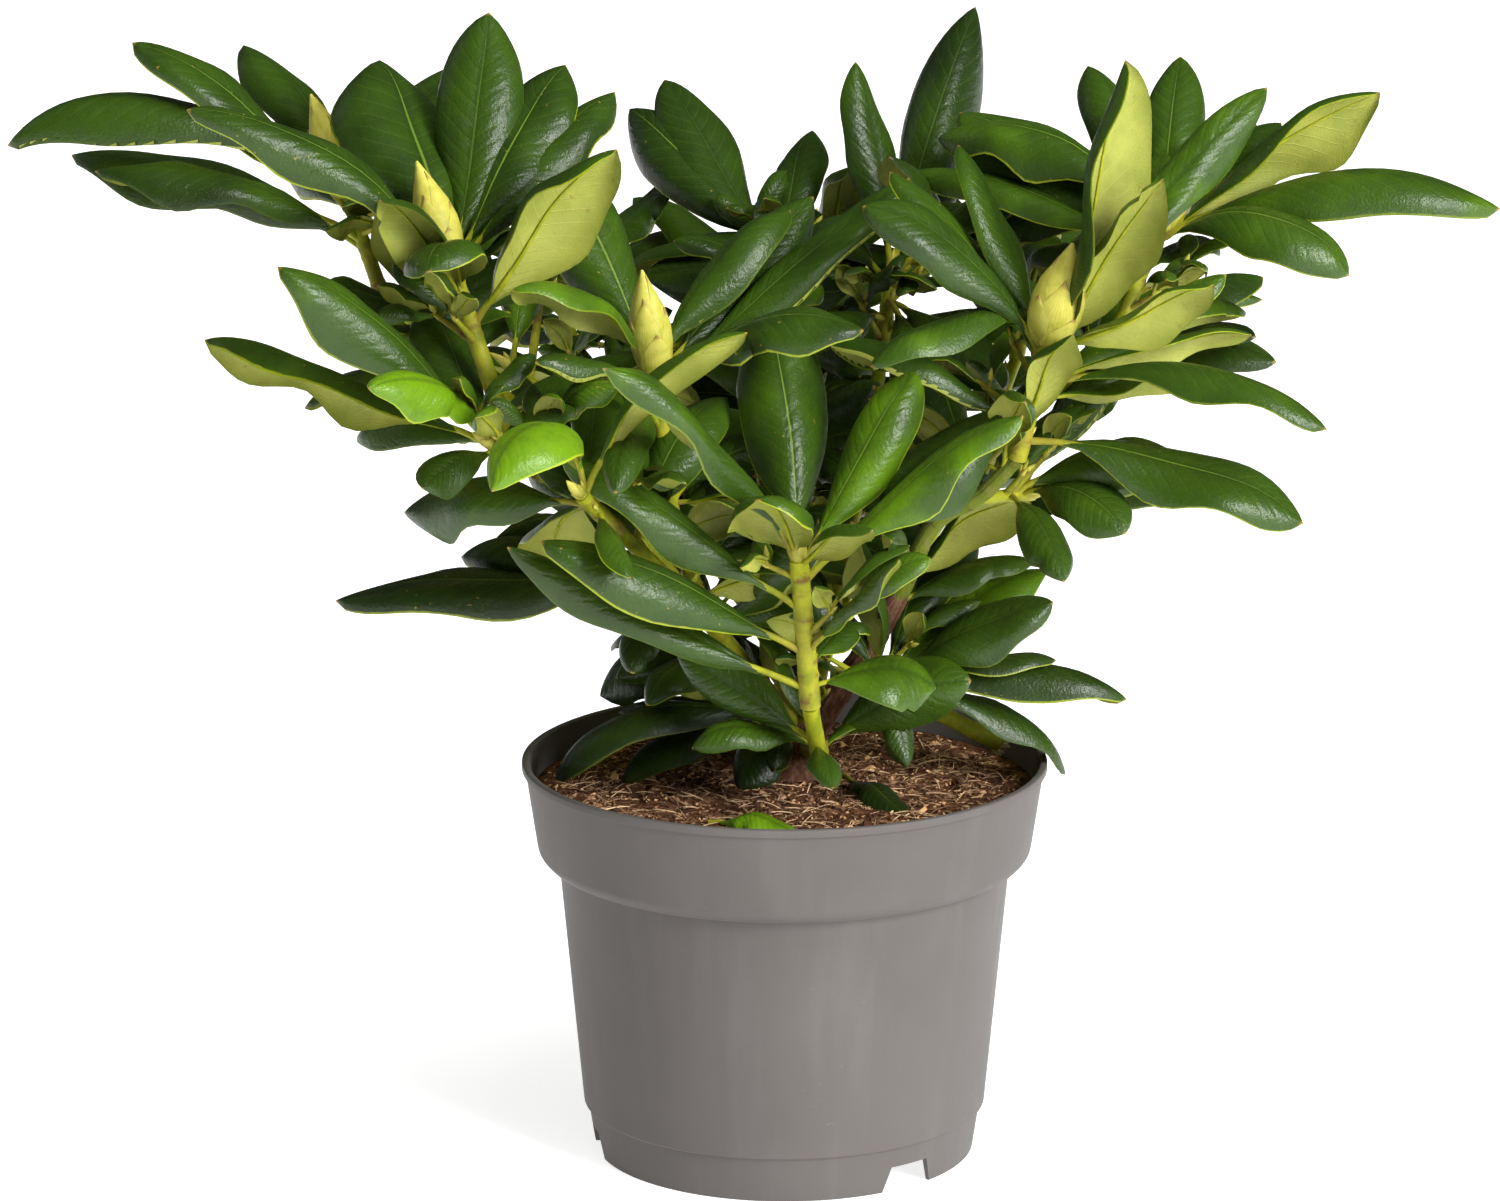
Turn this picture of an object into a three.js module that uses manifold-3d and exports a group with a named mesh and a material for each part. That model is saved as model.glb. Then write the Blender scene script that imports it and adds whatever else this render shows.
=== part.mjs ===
// A young rhododendron in its five-litre nursery pot.
//
// Millimetres, +Z up, origin at the middle of the pot's flat underside, +X along the widest way
// through the leaves. The plant is a short trunk, its boughs, and one leafy shoot mass for each
// growing tip. A shoot is a stem, a bud and the leaves round it, and every leaf is one curved blade
// on its stalk.

import * as THREE from "three";
import { mergeVertices } from "three/addons/utils/BufferGeometryUtils.js";
import Module from "manifold-3d";

const wasm = await Module();
wasm.setup();

// ---------------------------------------------------------------- driving dimensions, mm

const POT = {
  height: 176,
  rimRadius: 115,
  lipHeight: 3.5,
  lipProud: 1.5,
  collarFoot: 132,
  collarFootRadius: 108,
  collarRound: 4,
  bodyTopRadius: 99,
  bodyFootRadius: 88.5,
  skirtHeight: 21,
  skirtTopRadius: 86.5,
  skirtFootRadius: 83.5,
  wall: 2.2,
  floor: 2.6,
  discRadius: 60, // the flat middle of the underside
  channelRise: 12.5, // the drain channel between that disc and the skirt
  channelInner: 67,
  segments: 32,
};
const DRAIN = { count: 3, firstAzimuth: -50, footWidth: 27, topWidth: 20, height: 11.5, depth: 24 };

const SOIL = { edge: 163, middle: 166, flatRadius: 26, lump: 1.3, rings: 3 };
const CLEAR = 0.3; // the gap that touching pieces keep
const GUARD = 0.4; // how much a piece is grown when its clearance is tried

const GOLDEN = 137.5; // degrees from one leaf round the stem to the next
const LEAF = {
  stalk: 0.16, // share of the reach that is stalk
  stalkHalf: 1.4,
  widthShare: 0.34, // blade width over reach
  widest: 1.15, // above 1 moves the widest place towards the tip
  fullness: 0.8,
  thinnest: 1.4,
  thickShare: 1 / 85,
  stations: [0.03, 0.03, 0.16, 0.4, 0.7, 1],
  blade: 2, // the station where the blade starts
};

// A bud's outline: share of its radius, and share of its height (or mm where it is below the top).
const PLUMP = [[0, -2], [0.62, -2], [1, 0.24], [0.78, 0.58], [0.24, 0.88], [0, 1]];
const SLIGHT = [[0, -1], [1, -1], [0.8, 0.5], [0, 1]];
const BUDS = {
  fat: { height: 46, radius: 12, outline: PLUMP },
  slim: { height: 46, radius: 9.6, outline: PLUMP },
  small: { height: 20, radius: 3.8, outline: SLIGHT },
  tiny: { height: 12, radius: 3.1, outline: SLIGHT },
};

// ---------------------------------------------------------------- limbs

// Each limb runs through its points, from inside what carries it out to its tip.
const TRUNK = {
  points: [[8, 9, SOIL.middle + CLEAR], [8, 9, 174], [9, 6, 184], [10, 3, 194]],
  radii: [12, 9],
  flare: 5,
};

const BOUGHS = {
  bough_right: {
    points: [
      [10, 4, 182], [22, -4, 205], [37, -11, 230], [52, -25, 262], [64, -36, 290], [84, -44, 305],
      [99, -49, 322],
    ],
    radii: [6.5, 4.3],
  },
  bough_far_right: {
    points: [[60, -33, 282], [84, -14, 311], [116, -1, 340], [143, 1, 366]],
    radii: [4.6, 3.7],
  },
  bough_front: {
    points: [[9, 5, 180], [15, -30, 187], [14, -62, 199], [11, -77, 220]],
    radii: [5.6, 4.7],
  },
  bough_left: {
    points: [[9, 4, 182], [-12, -7, 213], [-32, -26, 243], [-52, -56, 273], [-70, -86, 299]],
    radii: [6, 4],
  },
  bough_far_left: {
    points: [[-30, -24, 240], [-60, -40, 281], [-92, -57, 310], [-114, -66, 326]],
    radii: [4.9, 4.2],
  },
  bough_outer_left: {
    points: [[-62, -41, 283], [-98, -24, 322], [-140, -4, 356], [-173, 3, 380]],
    radii: [4.3, 3.5],
  },
  bough_middle: {
    points: [[-30, -24, 240], [-44, -30, 276], [-49, -42, 306], [-50, -48, 320]],
    radii: [4.5, 3.7],
  },
  bough_back: {
    points: [[9, 5, 182], [17, 26, 218], [28, 48, 265], [38, 68, 306], [42, 78, 334]],
    radii: [6, 3.8],
  },
  bough_centre: {
    points: [[20, 32, 236], [8, 56, 284], [3, 74, 320], [1, 83, 343]],
    radii: [4.3, 3.6],
  },
  bough_back_right: {
    points: [[19, 31, 227], [56, 66, 262], [90, 108, 300], [104, 130, 326]],
    radii: [5, 3.8],
  },
  bough_back_left: {
    points: [[12, 13, 198], [-28, 52, 248], [-66, 94, 288], [-90, 120, 316]],
    radii: [5, 3.8],
  },
  bough_rear: {
    points: [[-10, 34, 228], [-6, 82, 258], [2, 124, 284], [6, 146, 306]],
    radii: [4.6, 3.7],
  },
  cut_shoot: {
    points: [[37, -11, 226], [62, -2, 201], [80, 6, 188.5], [95, 14, 178.5]],
    radii: [4.2, 5.2],
  },
};

// ---------------------------------------------------------------- shoots

// A leaf set by hand: where it points, how steeply its chord rises, how far it reaches, how much it
// bends over along its length, how far its blade is turned about its midrib, how far below the top
// of the stem it roots, and its width over the usual one.
const leaf = (azimuth, rise, reach, bow = 25, roll = 0, down = 4, wide = 1) =>
  ({ azimuth, rise, reach, bow, roll, down, wide });

// A shoot sits on the tip of the bough that it is `on`, or starts at a foot of its own inside a limb.
// fill: leaves that the rule adds round the stem, within the arc from..to, and twigs that it adds.
const SHOOTS = [
  {
    name: "shoot_outer_left", on: "bough_outer_left", top: [-189, 10, 425], radii: [3.6, 3], bud: "slim",
    leaves: [
      leaf(180, 15, 158, 78, -4, 12, 0.7), leaf(-170, 17, 120, 44, -20, 22, 0.75),
      leaf(168, 15, 134, 20, -6, 20),
      leaf(157, 16, 112, 26, -20, 26, 0.8), leaf(-176, 41, 119, 14, -34, 8, 0.76),
      leaf(128, 38, 98, 24, 0, 4),
      leaf(58, 28, 112, 20, 10, 6, 1.1), leaf(112, 12, 96, 30, -10, 16),
    ],
    fill: 2, twigs: 1, from: 30, to: 150,
  },
  {
    name: "shoot_far_left", on: "bough_far_left", top: [-141, -60, 409], radii: [4.2, 3.6], bud: "slim",
    leaves: [
      leaf(77, 60, 118, -6, 0, 5, 1.08), leaf(-8, 53, 101, 22, -55, 30, 1.3),
      leaf(-165, 40, 154, 56, -24, 26, 0.58),
      leaf(-104, 24, 58, 105, 0, 16, 2), leaf(-142, 66, 73, 36, 10, 22, 1.2),
      leaf(53, 53, 110, 14, 10, 4, 1.1),
      leaf(38, 39, 112, 20, 12, 6, 0.8), leaf(118, 40, 112, 22, 0, 4, 1.15),
      leaf(24, 24, 124, 26, 10, 12, 0.9),
      leaf(74, 33, 108, 24, 0, 6), leaf(105, 44, 112, 26, 0, 4, 1.7),
    ],
    fill: 0, twigs: 0, from: 0, to: 0,
  },
  {
    name: "shoot_left", foot: [-102, -61, 317], top: [-124, -82, 336], radii: [3.6, 3], bud: "tiny",
    leaves: [
      leaf(-160, 44, 122, 8, -42, 0, 0.86), leaf(-140, 27, 84, 62, -22, 2, 1),
      leaf(165, 19, 134, 4, 14, 4, 0.9),
      leaf(134, -5, 90, 30, 0, 4), leaf(-126, -8, 52, 20, -30, 6, 1.2),
    ],
    fill: 1, twigs: 0, from: 90, to: 150,
  },
  {
    name: "shoot_front_left", on: "bough_left", top: [-85, -101, 318], radii: [4, 3.5], bud: "tiny",
    leaves: [
      leaf(-119, 14, 78, 140, 0, 2, 1.8), leaf(144, -9, 105, 40, -22, 10),
      leaf(-4, 47, 100, 52, -34, 2, 0.65),
      leaf(70, 9, 72, 30, 0, 5), leaf(-70, -22, 48, 20, -20, 12, 1.1),
    ],
    fill: 2, twigs: 0, from: 60, to: 170,
  },
  {
    name: "shoot_middle", on: "bough_middle", top: [-55, -55, 362], radii: [3.7, 3.4], bud: "slim",
    leaves: [
      leaf(-144, 34, 90, 56, 8, 4), leaf(-23, 18, 100, 48, 14, 4, 1.1), leaf(20, 36, 140, 4, 30, 6, 0.6),
      leaf(38, 43, 110, 6, 26, 6, 0.85), leaf(-136, 33, 86, 50, 0, 30, 0.8),
      leaf(140, 57, 140, 14, -14, 8, 0.95),
      leaf(109, 36, 84, 16, 0, 5, 1.1), leaf(-110, -12, 78, 40, 20, 18, 0.8),
    ],
    fill: 1, twigs: 1, from: 20, to: 150,
  },
  {
    name: "shoot_front", on: "bough_front", top: [6, -88, 287], radii: [4.7, 4.2], bud: "small",
    leaves: [
      leaf(102, 56, 126, 4, 0, 5, 1.1), leaf(-116, 44, 56, 44, 0, 2, 2.3),
      leaf(-150, 46, 138, 30, -36, 6, 0.48),
      leaf(-175, 34, 123, 8, -36, 24, 0.62), leaf(-166, 27, 130, 18, -30, 44, 0.8),
      leaf(-171, 28.5, 144, -14, -36, 60, 0.52), leaf(30, 56, 100, 6, 26, 5, 1),
      leaf(-4, 40, 120, 16, 38, 12, 0.66),
      leaf(-52, 32, 60, 30, -30, 4), leaf(-50, 42, 80, 10, 40, 44, 0.6), leaf(12, -2, 56, 60, 14, 60, 2),
      leaf(66, 6, 62, 30, 0, 50),
    ],
    fill: 0, twigs: 0, from: 0, to: 0,
  },
  {
    name: "shoot_right", on: "bough_right", top: [111, -60, 376], radii: [4.3, 3.7], bud: "fat",
    leaves: [
      leaf(-34, 74, 140, -22, 0, 12, 1), leaf(-30, 57, 104, 8, -28, 12, 0.85),
      leaf(-172, 43, 104, 44, -40, 10, 0.92),
      leaf(-158, -34, 86, 24, -24, 26, 1.5), leaf(-26, 26, 84, -14, -44, 4),
      leaf(-66, 50, 76, 40, 0, 50, 0.9),
      leaf(12, 12, 96, 20, -36, 22, 0.8), leaf(-18, -3, 128, 56, -4, 24, 0.75),
      leaf(-10, -13, 125, 26, 30, 48, 0.9),
      leaf(6, 22, 96, 16, 18, 26, 0.8), leaf(24, 1, 74, 20, -24, 30), leaf(26, 46, 155, 8, 34, 10, 0.48),
      leaf(165, 50, 102, 14, -10, 8, 0.8), leaf(140, 62, 96, 10, 0, 6, 0.8), leaf(170, 25, 93, 34, 12, 44),
    ],
    fill: 0, twigs: 1, from: 60, to: 150,
  },
  {
    name: "shoot_far_right", on: "bough_far_right", top: [161, 20, 406], radii: [3.7, 3.2], bud: "slim",
    leaves: [
      leaf(0, 35, 118, 12, -36, 6), leaf(-4, 7, 150, 54, 6, 4, 0.75), leaf(-21, 0, 92, 84, 16, 6, 1.2),
      leaf(79, 46, 96, 10, 0, 2), leaf(106, 40, 102, 14, 0, 2), leaf(50, 31, 84, 16, 10, 4),
      leaf(56, 4, 66, 30, 0, 20), leaf(153, 20, 112, 78, -12, 4), leaf(156, 15, 116, 26, -12, 10, 0.6),
      leaf(146, 30, 118, 16, -10, 6, 1.5), leaf(-113, 0, 59, 96, 0, 14, 1.8),
    ],
    fill: 2, twigs: 1, from: 20, to: 170,
  },
  {
    name: "shoot_back", on: "bough_back", top: [47, 90, 373], radii: [3.8, 3.3], bud: "tiny",
    leaves: [
      leaf(63, 52, 142, 8, 10, 2, 0.8), leaf(120, 72, 98, 8, 0, 2, 0.9), leaf(-60, -12, 100, 30, 10, 12),
      leaf(132, 21, 82, 30, 0, 6), leaf(40, 24, 92, 26, 0, 4), leaf(-122, 2, 84, 40, 0, 20),
      leaf(-36, 6, 84, 40, 0, 26),
    ],
    fill: 3, twigs: 1, from: 0, to: 360,
  },
  {
    name: "shoot_centre", on: "bough_centre", top: [-4, 100, 380], radii: [3.6, 3.2], bud: "tiny",
    leaves: [
      leaf(139, 34, 108, 14, -18, 2, 1.05), leaf(124, 41, 112, 12, -8, 4), leaf(76, 40, 78, 24, 0, 2),
      leaf(-158, 24, 54, 30, -12, 10), leaf(178, -2, 60, 20, -40, 8, 1.5),
      leaf(-117, -8, 76, 40, 0, 10), leaf(-51, 30, 64, 40, 10, 6),
    ],
    fill: 2, twigs: 1, from: 0, to: 180,
  },
  {
    name: "shoot_lower_right", foot: [82, -42, 303], top: [103, -27, 301], radii: [3.2, 2.6], bud: "tiny",
    leaves: [
      leaf(20, -5, 92, 26, 14, 4), leaf(-20, 16, 78, 50, 24, 6, 1.3), leaf(-48, -4, 64, 60, 20, 2, 1.5),
      leaf(-72, -16, 72, 40, 10, 8),
    ],
    fill: 1, twigs: 0, from: 30, to: 120,
  },
  {
    name: "shoot_lower_left", foot: [-30, -24, 240], top: [-58, -12, 261], radii: [3.2, 2.6], bud: "tiny",
    leaves: [
      leaf(180, -3, 140, 16, -14, 4, 0.95), leaf(160, 4, 96, 30, -8, 8), leaf(-104, -20, 62, 40, 0, 10),
    ],
    fill: 0, twigs: 0, from: 0, to: 0,
  },
  {
    name: "shoot_low_front", foot: [8, 6, 187], top: [-2, -12, 197], radii: [3.2, 2.6], bud: "tiny",
    leaves: [
      leaf(-179, -12, 106, 62, -10, 4), leaf(158, -3, 78, 24, -24, 2),
      leaf(-174, -18, 78, 44, -24, 6), leaf(-120, -30, 44, 40, 0, 4, 2),
      leaf(-98, -24, 34, 40, 0, 2, 1.4),
    ],
    fill: 0, twigs: 0, from: 0, to: 0,
  },
  {
    name: "shoot_low_left", foot: [-9, 34, 228], top: [-28, 28, 220], radii: [3, 2.6], bud: "tiny",
    leaves: [
      leaf(178, -24, 62, 44, -26, 3, 1.7), leaf(-160, -12, 52, 26, -16, 2, 1.2),
      leaf(150, -8, 64, 30, 0, 5, 1.2),
      leaf(-125, -12, 64, 30, 0, 4, 1.2), leaf(120, 30, 70, 24, 0, 3), leaf(-150, 38, 84, 20, 0, 2),
    ],
    fill: 0, twigs: 0, from: 0, to: 0,
  },
  {
    name: "shoot_low_right", foot: [30, -8, 218], top: [42, -28, 214], radii: [3.4, 2.7], bud: "tiny",
    leaves: [
      leaf(4, 9, 80, 24, -24, 6), leaf(5, 1, 112, 24, 6, 8, 0.8), leaf(-9, 30, 86, 16, 26, 2, 1.1),
      leaf(25, 30, 94, 20, 20, 4, 1.1), leaf(14, -26, 101, 52, 12, 8, 0.8),
      leaf(-62, -46, 40, 40, 0, 3, 1.2), leaf(-150, 62, 68, 30, 10, 3), leaf(158, 52, 74, 34, -10, 2),
    ],
    fill: 1, twigs: 0, from: 40, to: 80,
  },
  {
    name: "shoot_rear_right", on: "bough_back_right", top: [112, 146, 362], radii: [3.7, 3.2], bud: "slim",
    leaves: [], fill: 7, twigs: 2, from: 0, to: 360,
  },
  {
    name: "shoot_rear_left", on: "bough_back_left", top: [-102, 140, 354], radii: [3.7, 3.2], bud: "slim",
    leaves: [], fill: 7, twigs: 2, from: 0, to: 360,
  },
  {
    name: "shoot_rear", on: "bough_rear", top: [10, 164, 344], radii: [3.6, 3.1], bud: "slim",
    leaves: [], fill: 7, twigs: 2, from: 0, to: 360,
  },
  {
    name: "shoot_side_right", foot: [88, 106, 298], top: [140, 84, 340], radii: [3.4, 2.8], bud: "tiny",
    leaves: [], fill: 7, twigs: 1, from: -50, to: 130,
  },
  {
    name: "shoot_side_left", foot: [-64, 92, 286], top: [-122, 68, 336], radii: [3.4, 2.8], bud: "tiny",
    leaves: [], fill: 6, twigs: 1, from: 60, to: 210,
  },
  {
    name: "shoot_low_rear", foot: [-6, 82, 258], top: [-14, 118, 268], radii: [3.2, 2.6], bud: "tiny",
    leaves: [
      leaf(8, 24, 100, 24, 42, 4, 1.2), leaf(60, 58, 100, 14, 0, 2, 1.2),
      leaf(-160, 34, 84, 24, -40, 6, 1.2),
    ],
    fill: 6, twigs: 0, from: 0, to: 360,
  },
  {
    name: "shoot_low_rear_right", foot: [54, 64, 260], top: [86, 80, 272], radii: [3.2, 2.6], bud: "tiny",
    leaves: [], fill: 8, twigs: 0, from: 0, to: 360,
  },
  {
    name: "shoot_low_rear_left", foot: [-28, 52, 248], top: [-62, 64, 264], radii: [3.2, 2.6], bud: "tiny",
    leaves: [], fill: 8, twigs: 0, from: 0, to: 360,
  },
];

// How the rule shapes the leaves that it adds, from the lowest on the stem to the highest.
const FILL = { lowRise: -14, highRise: 44, lowReach: 112, highReach: 86, spacing: 4.5, firstDown: 2 };
const TWIG = { length: 36, radii: [2.3, 1.8], rise: 40, leaves: 3, spacing: 12, firstDown: 12, share: 0.86 };

// The space that the added leaves keep to: over an underside that rises sideways and back, under a
// roof that falls towards the back, and no wider than `narrow` up to where the crown spreads.
const REACH = {
  x: [-330, 305], y: [-190, 262], narrow: 215, spread: 388,
  underside: { middle: 184, aside: 0.66, back: 0.2 },
  roof: { middle: 470, back: 0.4 },
};

// Laid on the soil: leaves that have dropped, and the green end of a shoot that was cut off.
const FALLEN = {
  fallen_leaf_front: { root: [-32, -66, 165.4], azimuth: -24, rise: 0, reach: 42, bow: 40, wide: 1.7 },
  fallen_leaf_right: { root: [26, -4, 168.9], azimuth: -60, rise: -5, reach: 54, bow: 20, wide: 1.3 },
};

// ---------------------------------------------------------------- solids

const vector = ([x, y, z]) => new THREE.Vector3(x, y, z);
const radians = THREE.MathUtils.degToRad;

// A draw from 0 to 1 that is the same each time for the same seed.
function seededDraws(seed) {
  let state = seed >>> 0;
  return () => {
    state = (Math.imul(state, 1664525) + 1013904223) >>> 0;
    return state / 4294967296;
  };
}

// A geometry as a solid that can be joined and cut, with its faces turned outwards.
function solidFrom(geometry) {
  const bare = geometry.clone();
  bare.deleteAttribute("normal");
  bare.deleteAttribute("uv");
  const merged = mergeVertices(bare, 1e-4);
  const corners = merged.index.array;
  const vertProperties = new Float32Array(merged.attributes.position.array);
  const facing = [[], []];
  for (let i = 0; i < corners.length; i += 3) {
    const [a, b, c] = [corners[i], corners[i + 1], corners[i + 2]];
    if (a === b || b === c || c === a) continue;
    facing[0].push(a, b, c);
    facing[1].push(a, c, b);
  }
  const [solid, turned] = facing.map((triangles) => new wasm.Manifold(
    new wasm.Mesh({ numProp: 3, vertProperties, triVerts: new Uint32Array(triangles) })));
  return solid.volume() > 0 ? solid : turned;
}

// The largest body of a solid, with any sealed hollow filled and any scrap dropped.
function mainBody(solid) {
  const bodies = solid.decompose().sort((a, b) => b.volume() - a.volume());
  return bodies[0];
}

function meshOf(name, solid, material) {
  const { numProp, vertProperties, triVerts } = solid.getMesh();
  const geometry = new THREE.BufferGeometry();
  const position = new Float32Array(vertProperties.length / numProp * 3);
  for (let i = 0; i < position.length / 3; i++) {
    position.set(vertProperties.subarray(i * numProp, i * numProp + 3), i * 3);
  }
  geometry.setAttribute("position", new THREE.BufferAttribute(position, 3));
  geometry.setIndex(new THREE.BufferAttribute(new Uint32Array(triVerts), 1));
  geometry.computeVertexNormals();
  const mesh = new THREE.Mesh(geometry, material);
  mesh.name = name;
  return mesh;
}

// A closed skin with one ring of points at each station. The first and last stations are single
// points. place(station, angle, point) puts each one.
function skin(sides, stations, place) {
  const geometry = new THREE.SphereGeometry(1, sides, stations - 1);
  const { position, uv } = geometry.attributes;
  const point = new THREE.Vector3();
  for (let i = 0; i < position.count; i++) {
    const station = Math.round((1 - uv.getY(i)) * (stations - 1));
    const side = Math.round(uv.getX(i) * sides) % sides;
    place(station, side / sides * 2 * Math.PI, point);
    position.setXYZ(i, point.x, point.y, point.z);
  }
  return solidFrom(geometry);
}

// A round limb that tapers along a curve, flat at both ends, grown by `grow` all over.
function limb({ points, radii, flare = 0 }, sides, steps, grow = 0) {
  const curve = new THREE.CatmullRomCurve3(points.map(vector), false, "catmullrom", 0.5);
  const { normals, binormals, tangents } = curve.computeFrenetFrames(steps);
  const radiusAt = (u) =>
    radii[0] + (radii[1] - radii[0]) * u + flare * Math.exp(-u * 9) + grow;
  return skin(sides, steps + 3, (station, angle, point) => {
    const ring = Math.min(Math.max(station - 1, 0), steps);
    const isEnd = station === 0 || station === steps + 2;
    const radius = isEnd ? 0 : radiusAt(ring / steps);
    const beyond = ring === 0 ? -grow : ring === steps ? grow : 0;
    curve.getPointAt(ring / steps, point);
    point.addScaledVector(tangents[ring], beyond);
    point.addScaledVector(normals[ring], radius * Math.cos(angle));
    point.addScaledVector(binormals[ring], radius * Math.sin(angle));
  });
}

// ---------------------------------------------------------------- leaf rule

// The way that an azimuth and a rise point.
function heading(azimuth, rise) {
  const [a, r] = [radians(azimuth), radians(rise)];
  return new THREE.Vector3(Math.cos(r) * Math.cos(a), Math.cos(r) * Math.sin(a), Math.sin(r));
}

// A leaf's midrib at share t of its length: an arc that bends over by `bow` and sideways by `sway`,
// with the ways along it, to its left and out of its upper face.
function midrib(blade, t) {
  const { root, azimuth, rise, reach, bow, sway, roll } = blade;
  const bend = radians(bow);
  const swept = (share) => Math.abs(share) < 1e-6 ? 1 : Math.sin(share) / share;
  const length = reach / swept(bend / 2);
  const centre = heading(azimuth + sway * (t - 1) / 2, rise + bow / 2 * (1 - t))
    .multiplyScalar(length * t * swept(bend * t / 2)).add(root);
  const [turn, tilt] = [azimuth + sway * (t - 0.5), rise + bow * (0.5 - t)];
  const level = heading(turn + 90, 0);
  const upright = heading(turn, tilt + 90);
  const twist = radians(roll) * Math.min(t / LEAF.stalk, 1);
  const left = level.clone().multiplyScalar(Math.cos(twist)).addScaledVector(upright, Math.sin(twist));
  const up = upright.clone().multiplyScalar(Math.cos(twist)).addScaledVector(level, -Math.sin(twist));
  return { centre, left, up };
}

// Half the width of a leaf at share t of its length.
function halfWidth(blade, t) {
  const share = Math.max(t - LEAF.stalk, 0) / (1 - LEAF.stalk);
  const outline = Math.sin(Math.PI * share ** LEAF.widest) ** LEAF.fullness;
  return Math.max(blade.width / 2 * outline, t < 1 ? LEAF.stalkHalf * (1 - t) : 0);
}

// A leaf as a kite-shaped section swept along its midrib, with its edges folded down by `fold`.
function leafSolid(blade, grow = 0, firstStation = 0) {
  const stations = LEAF.stations.slice(firstStation);
  const last = stations.length - 1;
  const fold = radians(blade.fold);
  return skin(4, stations.length, (station, angle, point) => {
    const t = stations[station];
    const { centre, left, up } = midrib(blade, t);
    const isEnd = station === 0 || station === last;
    const half = isEnd ? 0 : halfWidth(blade, t) + grow;
    const thick = isEnd ? 0 : (t <= LEAF.stalk ? LEAF.stalkHalf * 2 : blade.thickness) / 2 + grow;
    const across = Math.cos(angle);
    point.copy(centre)
      .addScaledVector(left, half * across * Math.cos(fold))
      .addScaledVector(up, -half * Math.abs(across) * Math.sin(fold) + thick * Math.sin(angle));
  });
}

// The sizes of a leaf that its seeded draws settle.
function finishBlade(blade, draw) {
  const width = blade.reach * LEAF.widthShare * blade.wide * (0.94 + 0.12 * draw());
  return {
    ...blade,
    width,
    sway: -12 + 24 * draw(),
    fold: 8 + 16 * draw(),
    thickness: Math.max(LEAF.thinnest, blade.reach * LEAF.thickShare),
  };
}

// The places that are tried for a leaf, from its own to ever further from it.
function nudges() {
  const tried = [[0, 0]];
  for (const away of [3, 6, 10, 15, 21]) {
    for (let k = 0; k < 8; k++) {
      tried.push([away * Math.cos(k * Math.PI / 4), away * Math.sin(k * Math.PI / 4)]);
    }
  }
  return tried;
}

// ---------------------------------------------------------------- shoot rule

// A shoot's stem runs straight from its foot to its top, and what it carries roots on its axis.
function stemOf(shoot) {
  const foot = vector(shoot.on ? BOUGHS[shoot.on].points.at(-1) : shoot.foot);
  const top = vector(shoot.top);
  const along = top.clone().sub(foot).normalize();
  return { foot, top, along };
}

function budSolid(shoot, grow = 0) {
  const { top, along } = stemOf(shoot);
  const { height, radius, outline } = BUDS[shoot.bud];
  const side = new THREE.Vector3(0, 1, 0).cross(along).normalize();
  const other = along.clone().cross(side);
  return skin(BUD_SIDES, outline.length, (station, angle, point) => {
    const [share, lift] = outline[station];
    const rounded = share === 0 ? 0 : share * radius + grow;
    point.copy(top)
      .addScaledVector(along, lift < 0 ? lift : lift * (height + grow))
      .addScaledVector(side, rounded * Math.cos(angle))
      .addScaledVector(other, rounded * Math.sin(angle));
  });
}

// The leaves that the rule adds round a stem, from the top one down.
function addedLeaves(count, from, to, top, along, spacing, share, draw) {
  const leaves = [];
  for (let i = 0; i < count; i++) {
    const height = 1 - i / Math.max(count - 1, 1);
    const azimuth = from + (i * GOLDEN + 30 * draw()) % (to - from);
    const rise = FILL.lowRise + (FILL.highRise - FILL.lowRise) * height + 16 * (draw() - 0.5);
    const reach = share * (FILL.lowReach + (FILL.highReach - FILL.lowReach) * height + 20 * (draw() - 0.5));
    const bow = 18 + 30 * draw();
    const roll = 24 * (draw() - 0.5);
    const root = top.clone().addScaledVector(along, -FILL.firstDown - spacing * i);
    leaves.push(finishBlade({ root, azimuth, rise, reach, bow, roll, wide: 1, added: true }, draw));
  }
  return leaves;
}

// Every leaf and twig that a shoot would like to carry, in the order in which they are tried.
function wantedGrowth(shoot, seed) {
  const draw = seededDraws(seed);
  const { top, along } = stemOf(shoot);
  const leaves = shoot.leaves.map((one) => finishBlade({
    ...one, root: top.clone().addScaledVector(along, -one.down), added: false,
  }, draw));
  const { fill, twigs: twigCount, from, to } = shoot;
  leaves.push(...addedLeaves(fill, from, to, top, along, FILL.spacing, 1, draw));
  const twigs = [];
  for (let k = 0; k < twigCount; k++) {
    const azimuth = from + (k * GOLDEN + 90 * draw()) % (to - from);
    const way = heading(azimuth, TWIG.rise + 20 * (draw() - 0.5));
    const foot = top.clone().addScaledVector(along, -TWIG.firstDown - TWIG.spacing * k);
    const end = foot.clone().addScaledVector(way, TWIG.length * (0.85 + 0.3 * draw()));
    twigs.push({
      limb: { points: [foot.toArray(), end.toArray()], radii: TWIG.radii },
      leaves: addedLeaves(TWIG.leaves, azimuth - 150, azimuth + 150, end, way, 3, TWIG.share, draw),
    });
  }
  return { leaves, twigs };
}

// ---------------------------------------------------------------- clearances

// A solid and its box, kept together so that far pieces are passed over quickly.
const boxed = (solid, owner) => ({ solid, owner, box: solid.boundingBox() });

const boxesMeet = (a, b) => [0, 1, 2].every((k) => a.min[k] <= b.max[k] && b.min[k] <= a.max[k]);

function isClear(solid, obstacles) {
  const box = solid.boundingBox();
  return obstacles.every((other) =>
    !boxesMeet(box, other.box) || solid.intersect(other.solid).isEmpty());
}

// ---------------------------------------------------------------- pot, soil and what lies on it

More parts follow.
